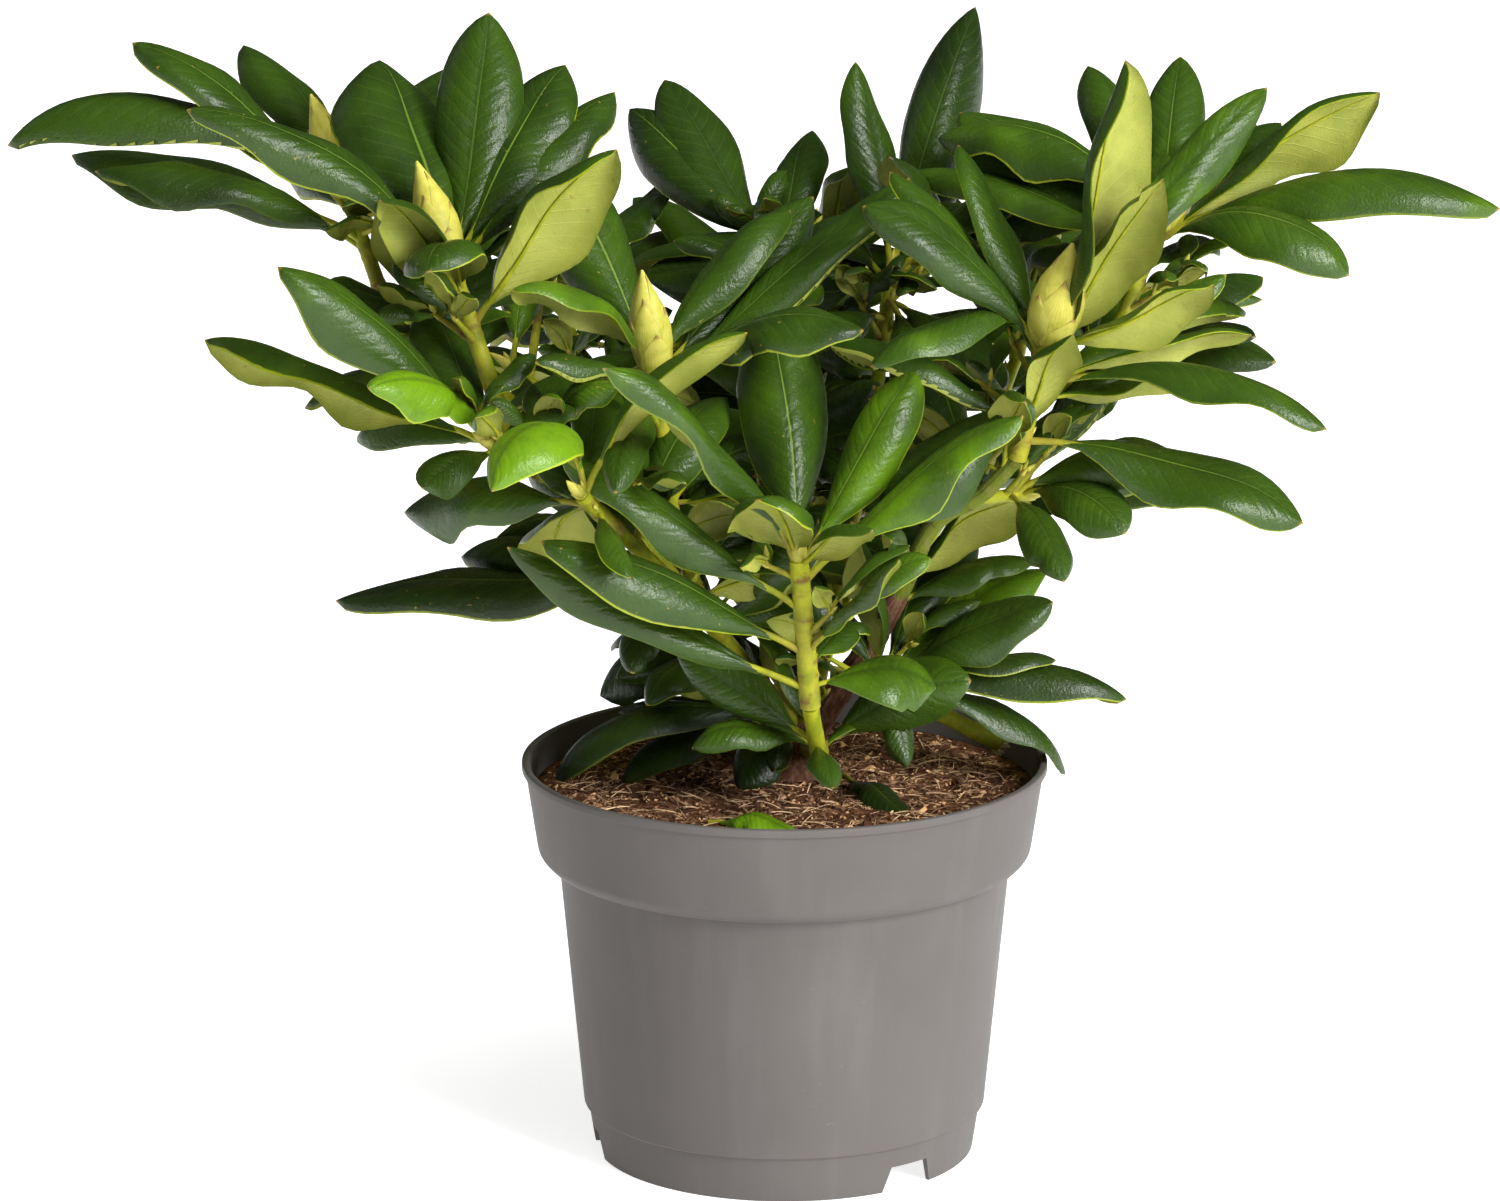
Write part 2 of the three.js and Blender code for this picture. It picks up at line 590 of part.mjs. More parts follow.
// The wall's inner radius follows its outer one.
function potProfile() {
  const P = POT;
  const outer = [
    [P.skirtFootRadius, 0],
    [P.skirtTopRadius, P.skirtHeight - 1],
    [P.bodyFootRadius, P.skirtHeight],
    [P.bodyTopRadius, P.collarFoot - 1],
    [P.collarFootRadius - P.collarRound, P.collarFoot],
    [P.collarFootRadius, P.collarFoot + P.collarRound],
    [P.rimRadius - P.lipProud, P.height - P.lipHeight],
    [P.rimRadius, P.height - P.lipHeight],
    [P.rimRadius, P.height],
  ];
  const inner = innerWall().reverse();
  const under = [
    [P.skirtFootRadius - P.wall, 0],
    [P.skirtFootRadius - P.wall + 1, P.channelRise],
    [P.channelInner, P.channelRise],
    [P.discRadius, 0],
    [0, 0],
  ];
  return [...under.reverse(), ...outer, ...inner];
}

// The inside of the pot, from the middle of its floor up to its rim.
function innerWall() {
  const P = POT;
  return [
    [0, P.floor],
    [P.discRadius - 1, P.floor],
    [P.channelInner - 1, P.channelRise + P.floor],
    [P.skirtTopRadius - P.wall - 1, P.channelRise + P.floor],
    [P.bodyTopRadius - P.wall, P.collarFoot + 1],
    [P.collarFootRadius - P.wall, P.collarFoot + P.collarRound + 2],
    [P.rimRadius - P.wall - 1, P.height],
  ];
}

function lathe(profile, segments) {
  const geometry = new THREE.LatheGeometry(profile.map(([r, z]) => new THREE.Vector2(r, z)), segments);
  geometry.rotateX(Math.PI / 2);
  return solidFrom(geometry);
}

// A drain gap: a wedge that is wider at the ground, through the skirt.
function drainGap(azimuth) {
  const shape = new THREE.Shape();
  shape.moveTo(-DRAIN.footWidth / 2, -1);
  shape.lineTo(DRAIN.footWidth / 2, -1);
  shape.lineTo(DRAIN.topWidth / 2, DRAIN.height);
  shape.lineTo(-DRAIN.topWidth / 2, DRAIN.height);
  const geometry = new THREE.ExtrudeGeometry(shape, { depth: DRAIN.depth, bevelEnabled: false });
  geometry.rotateX(Math.PI / 2).rotateZ(Math.PI / 2);
  geometry.translate(POT.channelInner + 2, 0, 0);
  geometry.rotateZ(radians(azimuth));
  return solidFrom(geometry);
}

function potSolid() {
  let pot = lathe(potProfile(), POT.segments);
  for (let k = 0; k < DRAIN.count; k++) {
    pot = pot.subtract(drainGap(DRAIN.firstAzimuth + k * 360 / DRAIN.count));
  }
  return pot;
}

// The soil fills the pot from its floor. Its top is lumpy, and flat only round the trunk. What lies
// on it is cut clear with a soil that stands higher by `raised`.
function soilSolid(raised = 0) {
  const wall = innerWall().slice(0, -1).map(([r, z]) => [Math.max(r - CLEAR, 0), z + CLEAR]);
  const [low, high] = innerWall().slice(-2);
  const share = (SOIL.edge - low[1]) / (high[1] - low[1]);
  const edgeRadius = low[0] + (high[0] - low[0]) * share - CLEAR * 1.2;
  const top = [];
  for (let k = 0; k < SOIL.rings; k++) {
    const radius = edgeRadius + (SOIL.flatRadius - edgeRadius) * (k + 1) / SOIL.rings;
    top.push([radius, SOIL.edge + (SOIL.middle - SOIL.edge) * (k + 1) / SOIL.rings]);
  }
  const geometry = new THREE.LatheGeometry(
    [...wall, [edgeRadius, SOIL.edge], ...top, [0, SOIL.middle]].map(([r, z]) => new THREE.Vector2(r, z)),
    POT.segments,
  );
  geometry.rotateX(Math.PI / 2);
  const { position } = geometry.attributes;
  for (let i = 0; i < position.count; i++) {
    const [x, y, z] = [position.getX(i), position.getY(i), position.getZ(i)];
    const radius = Math.hypot(x, y);
    if (z < SOIL.edge - 1 || radius < SOIL.flatRadius + 1 || radius > edgeRadius - 1) continue;
    position.setZ(i, z + SOIL.lump * Math.sin(x * 0.19 + 1) * Math.cos(y * 0.23));
  }
  geometry.translate(0, 0, raised);
  return solidFrom(geometry);
}

// ---------------------------------------------------------------- assembly

const finish = (color, roughness) => new THREE.MeshStandardMaterial({ color, roughness, metalness: 0 });
const FINISHES = {
  pot: finish(0x77767a, 0.62),
  soil: finish(0x3f2617, 0.95),
  bark: finish(0x6d4030, 0.85),
  greenWood: finish(0x8c9a2c, 0.6),
  leaves: finish(0x2a5f22, 0.42),
};

const LIMB_SIDES = 6;
const STEM_SIDES = 5;
const TWIG_SIDES = 3;
const BUD_SIDES = 6;
const BARKED = ["trunk", "bough_right"];
const obstacles = [];
const plant = new THREE.Group();

function put(name, solid, material) {
  plant.add(meshOf(name, solid, material));
}

const pot = potSolid();
const soil = soilSolid();
put("pot", pot, FINISHES.pot);
put("soil", soil, FINISHES.soil);
obstacles.push(boxed(pot), boxed(soil));

// Each limb is cut clear of the ones that carry it.
let limbsCut = null;
for (const [name, sizes] of Object.entries({ trunk: TRUNK, ...BOUGHS })) {
  const steps = sizes.points.length + 2;
  const sides = name === "trunk" ? 2 * LIMB_SIDES : LIMB_SIDES;
  const whole = limb(sizes, sides, steps);
  const seated = limbsCut ? mainBody(whole.subtract(limbsCut)) : whole;
  const seat = limb(sizes, sides, steps, CLEAR);
  limbsCut = limbsCut ? limbsCut.add(seat) : seat;
  put(name, seated, BARKED.includes(name) ? FINISHES.bark : FINISHES.greenWood);
  obstacles.push(boxed(limb(sizes, sides, steps, GUARD)));
}

for (const [name, lying] of Object.entries(FALLEN)) {
  const draw = seededDraws(name.length);
  const blade = finishBlade({ ...lying, root: vector(lying.root), roll: 0 }, draw);
  put(name, mainBody(leafSolid(blade).subtract(soilSolid(CLEAR))), FINISHES.leaves);
  obstacles.push(boxed(leafSolid(blade, GUARD)));
}

// The stems and buds of every shoot come before any leaf, so that no leaf grows through one.
const growing = SHOOTS.map((shoot, number) => {
  const { foot, top } = stemOf(shoot);
  const stem = { points: [foot.toArray(), top.toArray()], radii: shoot.radii };
  obstacles.push(boxed(limb(stem, STEM_SIDES, 1, GUARD), shoot.name));
  obstacles.push(boxed(budSolid(shoot, GUARD), shoot.name));
  return {
    name: shoot.name,
    stem,
    parts: [limb(stem, STEM_SIDES, 1), budSolid(shoot)],
    blades: [],
    ...wantedGrowth(shoot, number + 1),
  };
});

// Whether the tip of an added leaf keeps to the plant's own space.
function keepsToReach(blade) {
  const { x, y, z } = midrib(blade, 1).centre;
  const { underside, roof } = REACH;
  return x >= REACH.x[0] && x <= REACH.x[1] && y >= REACH.y[0] && y <= REACH.y[1] &&
    (Math.abs(x) <= REACH.narrow || z >= REACH.spread) &&
    z >= underside.middle + underside.aside * Math.abs(x) + underside.back * Math.abs(y) &&
    z <= roof.middle - roof.back * Math.max(y, 0);
}

// A leaf's place is the first where it is clear of every other piece, and its blade clear of the
// other blades of its own shoot. One that finds none is left out.
function settle(shoot, wanted) {
  const others = obstacles.filter((other) => other.owner !== shoot.name);
  for (const [turn, lift] of nudges()) {
    const blade = { ...wanted, azimuth: wanted.azimuth + turn, rise: wanted.rise + lift };
    if (wanted.added && !keepsToReach(blade)) continue;
    if (!isClear(leafSolid(blade, GUARD), others)) continue;
    if (!isClear(leafSolid(blade, GUARD, LEAF.blade), shoot.blades)) continue;
    const solid = leafSolid(blade);
    shoot.parts.push(solid);
    shoot.blades.push(boxed(leafSolid(blade, 0, LEAF.blade)));
    obstacles.push(boxed(solid, shoot.name));
    return true;
  }
  return false;
}

// A twig that touches nothing is kept once it carries a leaf.
function growTwig(shoot, twig) {
  const guard = limb(twig.limb, TWIG_SIDES, 1, GUARD);
  if (!isClear(guard, obstacles.filter((other) => other.owner !== shoot.name))) return;
  if (!isClear(guard, shoot.blades)) return;
  const carried = twig.leaves.filter((wanted) => settle(shoot, wanted));
  if (carried.length === 0) return;
  shoot.parts.push(limb(twig.limb, TWIG_SIDES, 1));
  obstacles.push(boxed(guard, shoot.name));
}

// The leaves set by hand come first on every shoot, then the ones that the rule adds.
for (const shoot of growing) {
  for (const wanted of shoot.leaves.filter((one) => !one.added)) settle(shoot, wanted);
}
for (const shoot of growing) {
  for (const wanted of shoot.leaves.filter((one) => one.added)) settle(shoot, wanted);
  for (const twig of shoot.twigs) growTwig(shoot, twig);
}

// Each shoot is cut clear of the limbs and of the stems of the shoots before it.
for (const { name, stem, parts } of growing) {
  put(name, mainBody(wasm.Manifold.union(parts).subtract(limbsCut)), FINISHES.leaves);
  limbsCut = limbsCut.add(limb(stem, STEM_SIDES, 1, CLEAR));
}

export default plant;
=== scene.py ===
import logging
import math
from dataclasses import dataclass, field, replace
from enum import Enum

import bpy
import numpy as np
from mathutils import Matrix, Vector, noise
from mathutils.bvhtree import BVHTree


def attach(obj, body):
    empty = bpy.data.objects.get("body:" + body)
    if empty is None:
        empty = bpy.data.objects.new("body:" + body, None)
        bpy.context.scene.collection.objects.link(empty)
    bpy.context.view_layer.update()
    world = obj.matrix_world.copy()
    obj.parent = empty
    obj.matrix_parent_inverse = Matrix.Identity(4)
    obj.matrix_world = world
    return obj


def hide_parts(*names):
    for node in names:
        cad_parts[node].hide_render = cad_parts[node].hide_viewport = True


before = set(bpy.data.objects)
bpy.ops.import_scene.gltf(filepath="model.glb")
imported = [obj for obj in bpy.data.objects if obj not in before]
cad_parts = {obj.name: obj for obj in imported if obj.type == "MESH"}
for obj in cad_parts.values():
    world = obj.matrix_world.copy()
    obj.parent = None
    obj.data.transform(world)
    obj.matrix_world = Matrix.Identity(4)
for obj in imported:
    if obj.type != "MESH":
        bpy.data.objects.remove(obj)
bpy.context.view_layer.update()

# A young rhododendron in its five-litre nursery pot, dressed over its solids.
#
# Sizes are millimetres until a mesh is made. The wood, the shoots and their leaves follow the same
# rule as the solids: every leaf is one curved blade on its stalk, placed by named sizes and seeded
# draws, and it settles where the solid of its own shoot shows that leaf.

log = logging.getLogger("rhododendron")

METRES = 0.001
GOLDEN = 137.5
STALK_SHARE = 0.16
STALK_HALF = 1.4
WIDTH_SHARE = 0.34
WIDEST = 1.15
SWAY = (-12, 12)
FOLD = (8, 24)
FULLNESS = 0.8
USUAL_REACH = 110
SKIN_CREASE = 60

Triple = tuple[float, float, float]
Pair = tuple[float, float]
Colour = tuple[float, float, float]
Array = np.ndarray
Thing = bpy.types.Object
Wires = dict[int | str, object]


class Tone(Enum):
    """How fresh a leaf's green is, from the old dull ones to this year's."""

    OLD = 0.08
    DEEP = 0.3
    GREEN = 0.5
    FRESH = 0.72
    BRIGHT = 1.0


class Bud(Enum):
    """The bud that ends a shoot: its height and its greatest radius."""

    FAT = (46.0, 12.0)
    SLIM = (46.0, 9.6)
    SMALL = (20.0, 3.8)
    TINY = (12.0, 3.1)


@dataclass(frozen=True)
class Leaf:
    """A leaf given one by one.

    Its azimuth and rise point its chord, reach is that chord's length, bow how much it bends over,
    roll how far the blade turns about its midrib, down how far below the top of the stem it roots,
    and wide its width over the usual one.
    """

    azimuth: float
    rise: float
    reach: float
    bow: float = 25.0
    roll: float = 0.0
    down: float = 4.0
    wide: float = 1.0
    tone: Tone | None = None


@dataclass(frozen=True)
class LimbSize:
    """A limb's run of points from foot to tip, its radii at both ends and its flare at the foot."""

    points: list[Triple]
    radii: Pair
    flare: float = 0.0


@dataclass(frozen=True)
class Shoot:
    """A growing tip: its stem, the bud that ends it, and what grows round the stem.

    It sits on the tip of the bough it is on, or starts at a foot of its own inside a limb. The rule
    adds fill leaves and twigs within the arc.
    """

    name: str
    top: Triple
    radii: Pair
    bud: Bud
    leaves: list[Leaf]
    on: str | None = None
    foot: Triple | None = None
    fill: int = 0
    twigs: int = 0
    arc: Pair = (0.0, 0.0)
    tone: Tone = Tone.GREEN


TRUNK = LimbSize([(8, 9, 166.3), (8, 9, 174), (9, 6, 184), (10, 3, 194)], (12, 9), flare=5)

BOUGHS: dict[str, LimbSize] = {
    "bough_right": LimbSize(
        [(10, 4, 182), (22, -4, 205), (37, -11, 230), (52, -25, 262), (64, -36, 290),
         (84, -44, 305), (99, -49, 322)], (6.5, 4.3)),
    "bough_far_right": LimbSize(
        [(60, -33, 282), (84, -14, 311), (116, -1, 340), (143, 1, 366)], (4.6, 3.7)),
    "bough_front": LimbSize(
        [(9, 5, 180), (15, -30, 187), (14, -62, 199), (11, -77, 220)], (5.6, 4.7)),
    "bough_left": LimbSize(
        [(9, 4, 182), (-12, -7, 213), (-32, -26, 243), (-52, -56, 273), (-70, -86, 299)], (6, 4)),
    "bough_far_left": LimbSize(
        [(-30, -24, 240), (-60, -40, 281), (-92, -57, 310), (-114, -66, 326)], (4.9, 4.2)),
    "bough_outer_left": LimbSize(
        [(-62, -41, 283), (-98, -24, 322), (-140, -4, 356), (-173, 3, 380)], (4.3, 3.5)),
    "bough_middle": LimbSize(
        [(-30, -24, 240), (-44, -30, 276), (-49, -42, 306), (-50, -48, 320)], (4.5, 3.7)),
    "bough_back": LimbSize(
        [(9, 5, 182), (17, 26, 218), (28, 48, 265), (38, 68, 306), (42, 78, 334)], (6, 3.8)),
    "bough_centre": LimbSize(
        [(20, 32, 236), (8, 56, 284), (3, 74, 320), (1, 83, 343)], (4.3, 3.6)),
    "bough_back_right": LimbSize(
        [(19, 31, 227), (56, 66, 262), (90, 108, 300), (104, 130, 326)], (5, 3.8)),
    "bough_back_left": LimbSize(
        [(12, 13, 198), (-28, 52, 248), (-66, 94, 288), (-90, 120, 316)], (5, 3.8)),
    "bough_rear": LimbSize(
        [(-10, 34, 228), (-6, 82, 258), (2, 124, 284), (6, 146, 306)], (4.6, 3.7)),
    "cut_shoot": LimbSize(
        [(37, -11, 226), (62, -2, 201), (80, 6, 188.5), (95, 14, 178.5)], (4.2, 5.2)),
}


SHOOTS: list[Shoot] = [
    Shoot("shoot_outer_left", (-189, 10, 425), (3.6, 3), Bud.SLIM, [
        Leaf(180, 15, 158, 78, -4, 12, 0.7), Leaf(-170, 17, 120, 44, -20, 22, 0.75),
        Leaf(168, 15, 134, 20, -6, 20), Leaf(157, 16, 112, 26, -20, 26, 0.8),
        Leaf(-176, 41, 119, 14, -34, 8, 0.76), Leaf(128, 38, 98, 24, 0, 4),
        Leaf(58, 28, 112, 20, 10, 6, 1.1), Leaf(112, 12, 96, 30, -10, 16),
    ], on="bough_outer_left", fill=2, twigs=1, arc=(30, 150), tone=Tone.DEEP),
    Shoot("shoot_far_left", (-141, -60, 409), (4.2, 3.6), Bud.SLIM, [
        Leaf(77, 60, 118, -6, 0, 5, 1.08), Leaf(-8, 53, 101, 22, -55, 30, 1.3),
        Leaf(-165, 40, 154, 56, -24, 26, 0.58), Leaf(-104, 24, 58, 105, 0, 16, 2),
        Leaf(-142, 66, 73, 36, 10, 22, 1.2), Leaf(53, 53, 110, 14, 10, 4, 1.1),
        Leaf(38, 39, 112, 20, 12, 6, 0.8), Leaf(118, 40, 112, 22, 0, 4, 1.15),
        Leaf(24, 24, 124, 26, 10, 12, 0.9), Leaf(74, 33, 108, 24, 0, 6), Leaf(105, 44, 112, 26, 0, 4, 1.7),
    ], on="bough_far_left", tone=Tone.DEEP),
    Shoot("shoot_left", (-124, -82, 336), (3.6, 3), Bud.TINY, [
        Leaf(-160, 44, 122, 8, -42, 0, 0.86, Tone.GREEN), Leaf(-140, 27, 84, 62, -22, 2, 1, Tone.BRIGHT),
        Leaf(165, 19, 134, 4, 14, 4, 0.9, Tone.GREEN), Leaf(134, -5, 90, 30, 0, 4),
        Leaf(-126, -8, 52, 20, -30, 6, 1.2),
    ], foot=(-102, -61, 317), fill=1, arc=(90, 150)),
    Shoot("shoot_front_left", (-85, -101, 318), (4, 3.5), Bud.TINY, [
        Leaf(-119, 14, 78, 140, 0, 2, 1.8, Tone.BRIGHT), Leaf(144, -9, 105, 40, -22, 10),
        Leaf(-4, 47, 100, 52, -34, 2, 0.65), Leaf(70, 9, 72, 30, 0, 5),
        Leaf(-70, -22, 48, 20, -20, 12, 1.1),
    ], on="bough_left", fill=2, arc=(60, 170)),
    Shoot("shoot_middle", (-55, -55, 362), (3.7, 3.4), Bud.SLIM, [
        Leaf(-144, 34, 90, 56, 8, 4, 1, Tone.FRESH), Leaf(-23, 18, 100, 48, 14, 4, 1.1, Tone.DEEP),
        Leaf(20, 36, 140, 4, 30, 6, 0.6), Leaf(38, 43, 110, 6, 26, 6, 0.85, Tone.DEEP),
        Leaf(-136, 33, 86, 50, 0, 30, 0.8), Leaf(140, 57, 140, 14, -14, 8, 0.95, Tone.GREEN),
        Leaf(109, 36, 84, 16, 0, 5, 1.1), Leaf(-110, -12, 78, 40, 20, 18, 0.8),
    ], on="bough_middle", fill=1, twigs=1, arc=(20, 150)),
    Shoot("shoot_front", (6, -88, 287), (4.7, 4.2), Bud.SMALL, [
        Leaf(102, 56, 126, 4, 0, 5, 1.1), Leaf(-116, 44, 56, 44, 0, 2, 2.3),
        Leaf(-150, 46, 138, 30, -36, 6, 0.48), Leaf(-175, 34, 123, 8, -36, 24, 0.62),
        Leaf(-166, 27, 130, 18, -30, 44, 0.8), Leaf(-171, 28.5, 144, -14, -36, 60, 0.52),
        Leaf(30, 56, 100, 6, 26, 5, 1, Tone.FRESH), Leaf(-4, 40, 120, 16, 38, 12, 0.66, Tone.FRESH),
        Leaf(-52, 32, 60, 30, -30, 4), Leaf(-50, 42, 80, 10, 40, 44, 0.6), Leaf(12, -2, 56, 60, 14, 60, 2),
        Leaf(66, 6, 62, 30, 0, 50),
    ], on="bough_front"),
    Shoot("shoot_right", (111, -60, 376), (4.3, 3.7), Bud.FAT, [
        Leaf(-34, 74, 140, -22, 0, 12, 1), Leaf(-30, 57, 104, 8, -28, 12, 0.85),
        Leaf(-172, 43, 104, 44, -40, 10, 0.92, Tone.DEEP), Leaf(-158, -34, 86, 24, -24, 26, 1.5, Tone.DEEP),
        Leaf(-26, 26, 84, -14, -44, 4), Leaf(-66, 50, 76, 40, 0, 50, 0.9),
        Leaf(12, 12, 96, 20, -36, 22, 0.8), Leaf(-18, -3, 128, 56, -4, 24, 0.75),
        Leaf(-10, -13, 125, 26, 30, 48, 0.9), Leaf(6, 22, 96, 16, 18, 26, 0.8),
        Leaf(24, 1, 74, 20, -24, 30), Leaf(26, 46, 155, 8, 34, 10, 0.48),
        Leaf(165, 50, 102, 14, -10, 8, 0.8), Leaf(140, 62, 96, 10, 0, 6, 0.8),
        Leaf(170, 25, 93, 34, 12, 44),
    ], on="bough_right", twigs=1, arc=(60, 150)),
    Shoot("shoot_far_right", (161, 20, 406), (3.7, 3.2), Bud.SLIM, [
        Leaf(0, 35, 118, 12, -36, 6), Leaf(-4, 7, 150, 54, 6, 4, 0.75), Leaf(-21, 0, 92, 84, 16, 6, 1.2),
        Leaf(79, 46, 96, 10, 0, 2), Leaf(106, 40, 102, 14, 0, 2), Leaf(50, 31, 84, 16, 10, 4),
        Leaf(56, 4, 66, 30, 0, 20), Leaf(153, 20, 112, 78, -12, 4), Leaf(156, 15, 116, 26, -12, 10, 0.6),
        Leaf(146, 30, 118, 16, -10, 6, 1.5), Leaf(-113, 0, 59, 96, 0, 14, 1.8),
    ], on="bough_far_right", fill=2, twigs=1, arc=(20, 170)),
    Shoot("shoot_back", (47, 90, 373), (3.8, 3.3), Bud.TINY, [
        Leaf(63, 52, 142, 8, 10, 2, 0.8), Leaf(120, 72, 98, 8, 0, 2, 0.9), Leaf(-60, -12, 100, 30, 10, 12),
        Leaf(132, 21, 82, 30, 0, 6), Leaf(40, 24, 92, 26, 0, 4), Leaf(-122, 2, 84, 40, 0, 20),
        Leaf(-36, 6, 84, 40, 0, 26),
    ], on="bough_back", fill=3, twigs=1, arc=(0, 360), tone=Tone.DEEP),
    Shoot("shoot_centre", (-4, 100, 380), (3.6, 3.2), Bud.TINY, [
        Leaf(139, 34, 108, 14, -18, 2, 1.05), Leaf(124, 41, 112, 12, -8, 4), Leaf(76, 40, 78, 24, 0, 2),
        Leaf(-158, 24, 54, 30, -12, 10), Leaf(178, -2, 60, 20, -40, 8, 1.5), Leaf(-117, -8, 76, 40, 0, 10),
        Leaf(-51, 30, 64, 40, 10, 6),
    ], on="bough_centre", fill=2, twigs=1, arc=(0, 180), tone=Tone.DEEP),
    Shoot("shoot_lower_right", (103, -27, 301), (3.2, 2.6), Bud.TINY, [
        Leaf(20, -5, 92, 26, 14, 4), Leaf(-20, 16, 78, 50, 24, 6, 1.3), Leaf(-48, -4, 64, 60, 20, 2, 1.5),
        Leaf(-72, -16, 72, 40, 10, 8),
    ], foot=(82, -42, 303), fill=1, arc=(30, 120)),
    Shoot("shoot_lower_left", (-58, -12, 261), (3.2, 2.6), Bud.TINY, [
        Leaf(180, -3, 140, 16, -14, 4, 0.95), Leaf(160, 4, 96, 30, -8, 8), Leaf(-104, -20, 62, 40, 0, 10),
    ], foot=(-30, -24, 240), tone=Tone.OLD),
    Shoot("shoot_low_front", (-2, -12, 197), (3.2, 2.6), Bud.TINY, [
        Leaf(-179, -12, 106, 62, -10, 4), Leaf(158, -3, 78, 24, -24, 2), Leaf(-174, -18, 78, 44, -24, 6),
        Leaf(-120, -30, 44, 40, 0, 4, 2), Leaf(-98, -24, 34, 40, 0, 2, 1.4),
    ], foot=(8, 6, 187), tone=Tone.OLD),
    Shoot("shoot_low_left", (-28, 28, 220), (3, 2.6), Bud.TINY, [
        Leaf(178, -24, 62, 44, -26, 3, 1.7), Leaf(-160, -12, 52, 26, -16, 2, 1.2),
        Leaf(150, -8, 64, 30, 0, 5, 1.2), Leaf(-125, -12, 64, 30, 0, 4, 1.2), Leaf(120, 30, 70, 24, 0, 3),
        Leaf(-150, 38, 84, 20, 0, 2),
    ], foot=(-9, 34, 228), tone=Tone.OLD),
    Shoot("shoot_low_right", (42, -28, 214), (3.4, 2.7), Bud.TINY, [
        Leaf(4, 9, 80, 24, -24, 6), Leaf(5, 1, 112, 24, 6, 8, 0.8), Leaf(-9, 30, 86, 16, 26, 2, 1.1),
        Leaf(25, 30, 94, 20, 20, 4, 1.1, Tone.FRESH), Leaf(14, -26, 101, 52, 12, 8, 0.8),
        Leaf(-62, -46, 40, 40, 0, 3, 1.2), Leaf(-150, 62, 68, 30, 10, 3), Leaf(158, 52, 74, 34, -10, 2),
    ], foot=(30, -8, 218), fill=1, arc=(40, 80), tone=Tone.DEEP),
    Shoot("shoot_rear_right", (112, 146, 362), (3.7, 3.2), Bud.SLIM, [],
          on="bough_back_right", fill=7, twigs=2, arc=(0, 360)),
    Shoot("shoot_rear_left", (-102, 140, 354), (3.7, 3.2), Bud.SLIM, [],
          on="bough_back_left", fill=7, twigs=2, arc=(0, 360), tone=Tone.DEEP),
    Shoot("shoot_rear", (10, 164, 344), (3.6, 3.1), Bud.SLIM, [],
          on="bough_rear", fill=7, twigs=2, arc=(0, 360)),
    Shoot("shoot_side_right", (140, 84, 340), (3.4, 2.8), Bud.TINY, [],
          foot=(88, 106, 298), fill=7, twigs=1, arc=(-50, 130), tone=Tone.DEEP),
    Shoot("shoot_side_left", (-122, 68, 336), (3.4, 2.8), Bud.TINY, [],
          foot=(-64, 92, 286), fill=6, twigs=1, arc=(60, 210)),
    Shoot("shoot_low_rear", (-14, 118, 268), (3.2, 2.6), Bud.TINY, [
        Leaf(8, 24, 100, 24, 42, 4, 1.2), Leaf(60, 58, 100, 14, 0, 2, 1.2),
        Leaf(-160, 34, 84, 24, -40, 6, 1.2),
    ], foot=(-6, 82, 258), fill=6, arc=(0, 360), tone=Tone.OLD),
    Shoot("shoot_low_rear_right", (86, 80, 272), (3.2, 2.6), Bud.TINY, [],
          foot=(54, 64, 260), fill=8, arc=(0, 360), tone=Tone.DEEP),
    Shoot("shoot_low_rear_left", (-62, 64, 264), (3.2, 2.6), Bud.TINY, [],
          foot=(-28, 52, 248), fill=8, arc=(0, 360), tone=Tone.OLD),
]

FALLEN: dict[str, tuple[Triple, Leaf]] = {
    "fallen_leaf_front": ((-32, -66, 165.4), Leaf(-24, 0, 42, 40, 0, 0, 1.7, Tone.BRIGHT)),
    "fallen_leaf_right": ((26, -4, 168.9), Leaf(-60, -5, 54, 20, 0, 0, 1.3, Tone.OLD)),
}

# Leaves that lean off a bud or roll over, by shoot and place in its list: turn, lift and roll in degrees.
LEANING: dict[tuple[str, int], Triple] = {("shoot_far_left", 4): (4, -16, 35), ("shoot_left", 2): (0, 0, 15)}


# --- the rule


class Draws:
    """Draws from 0 to 1 that are the same each time for the same seed."""

    def __init__(self, seed: int) -> None:
        """Starts the row of draws."""
        self.state = seed & 0xFFFFFFFF

    def __call__(self) -> float:
        """Gives the next draw."""
        self.state = (self.state * 1664525 + 1013904223) & 0xFFFFFFFF
        return self.state / 4294967296

    def within(self, low: float, high: float) -> float:
        """Gives the next draw, between two numbers."""
        return low + (high - low) * self()


def heading(azimuth: Array | float, rise: Array | float) -> Array:
    """Turns azimuths and rises in degrees, one or many, into ways."""
    turn, lift = np.radians(azimuth), np.radians(rise)
    level = np.cos(lift)
    return np.stack(np.broadcast_arrays(level * np.cos(turn), level * np.sin(turn), np.sin(lift)), -1)


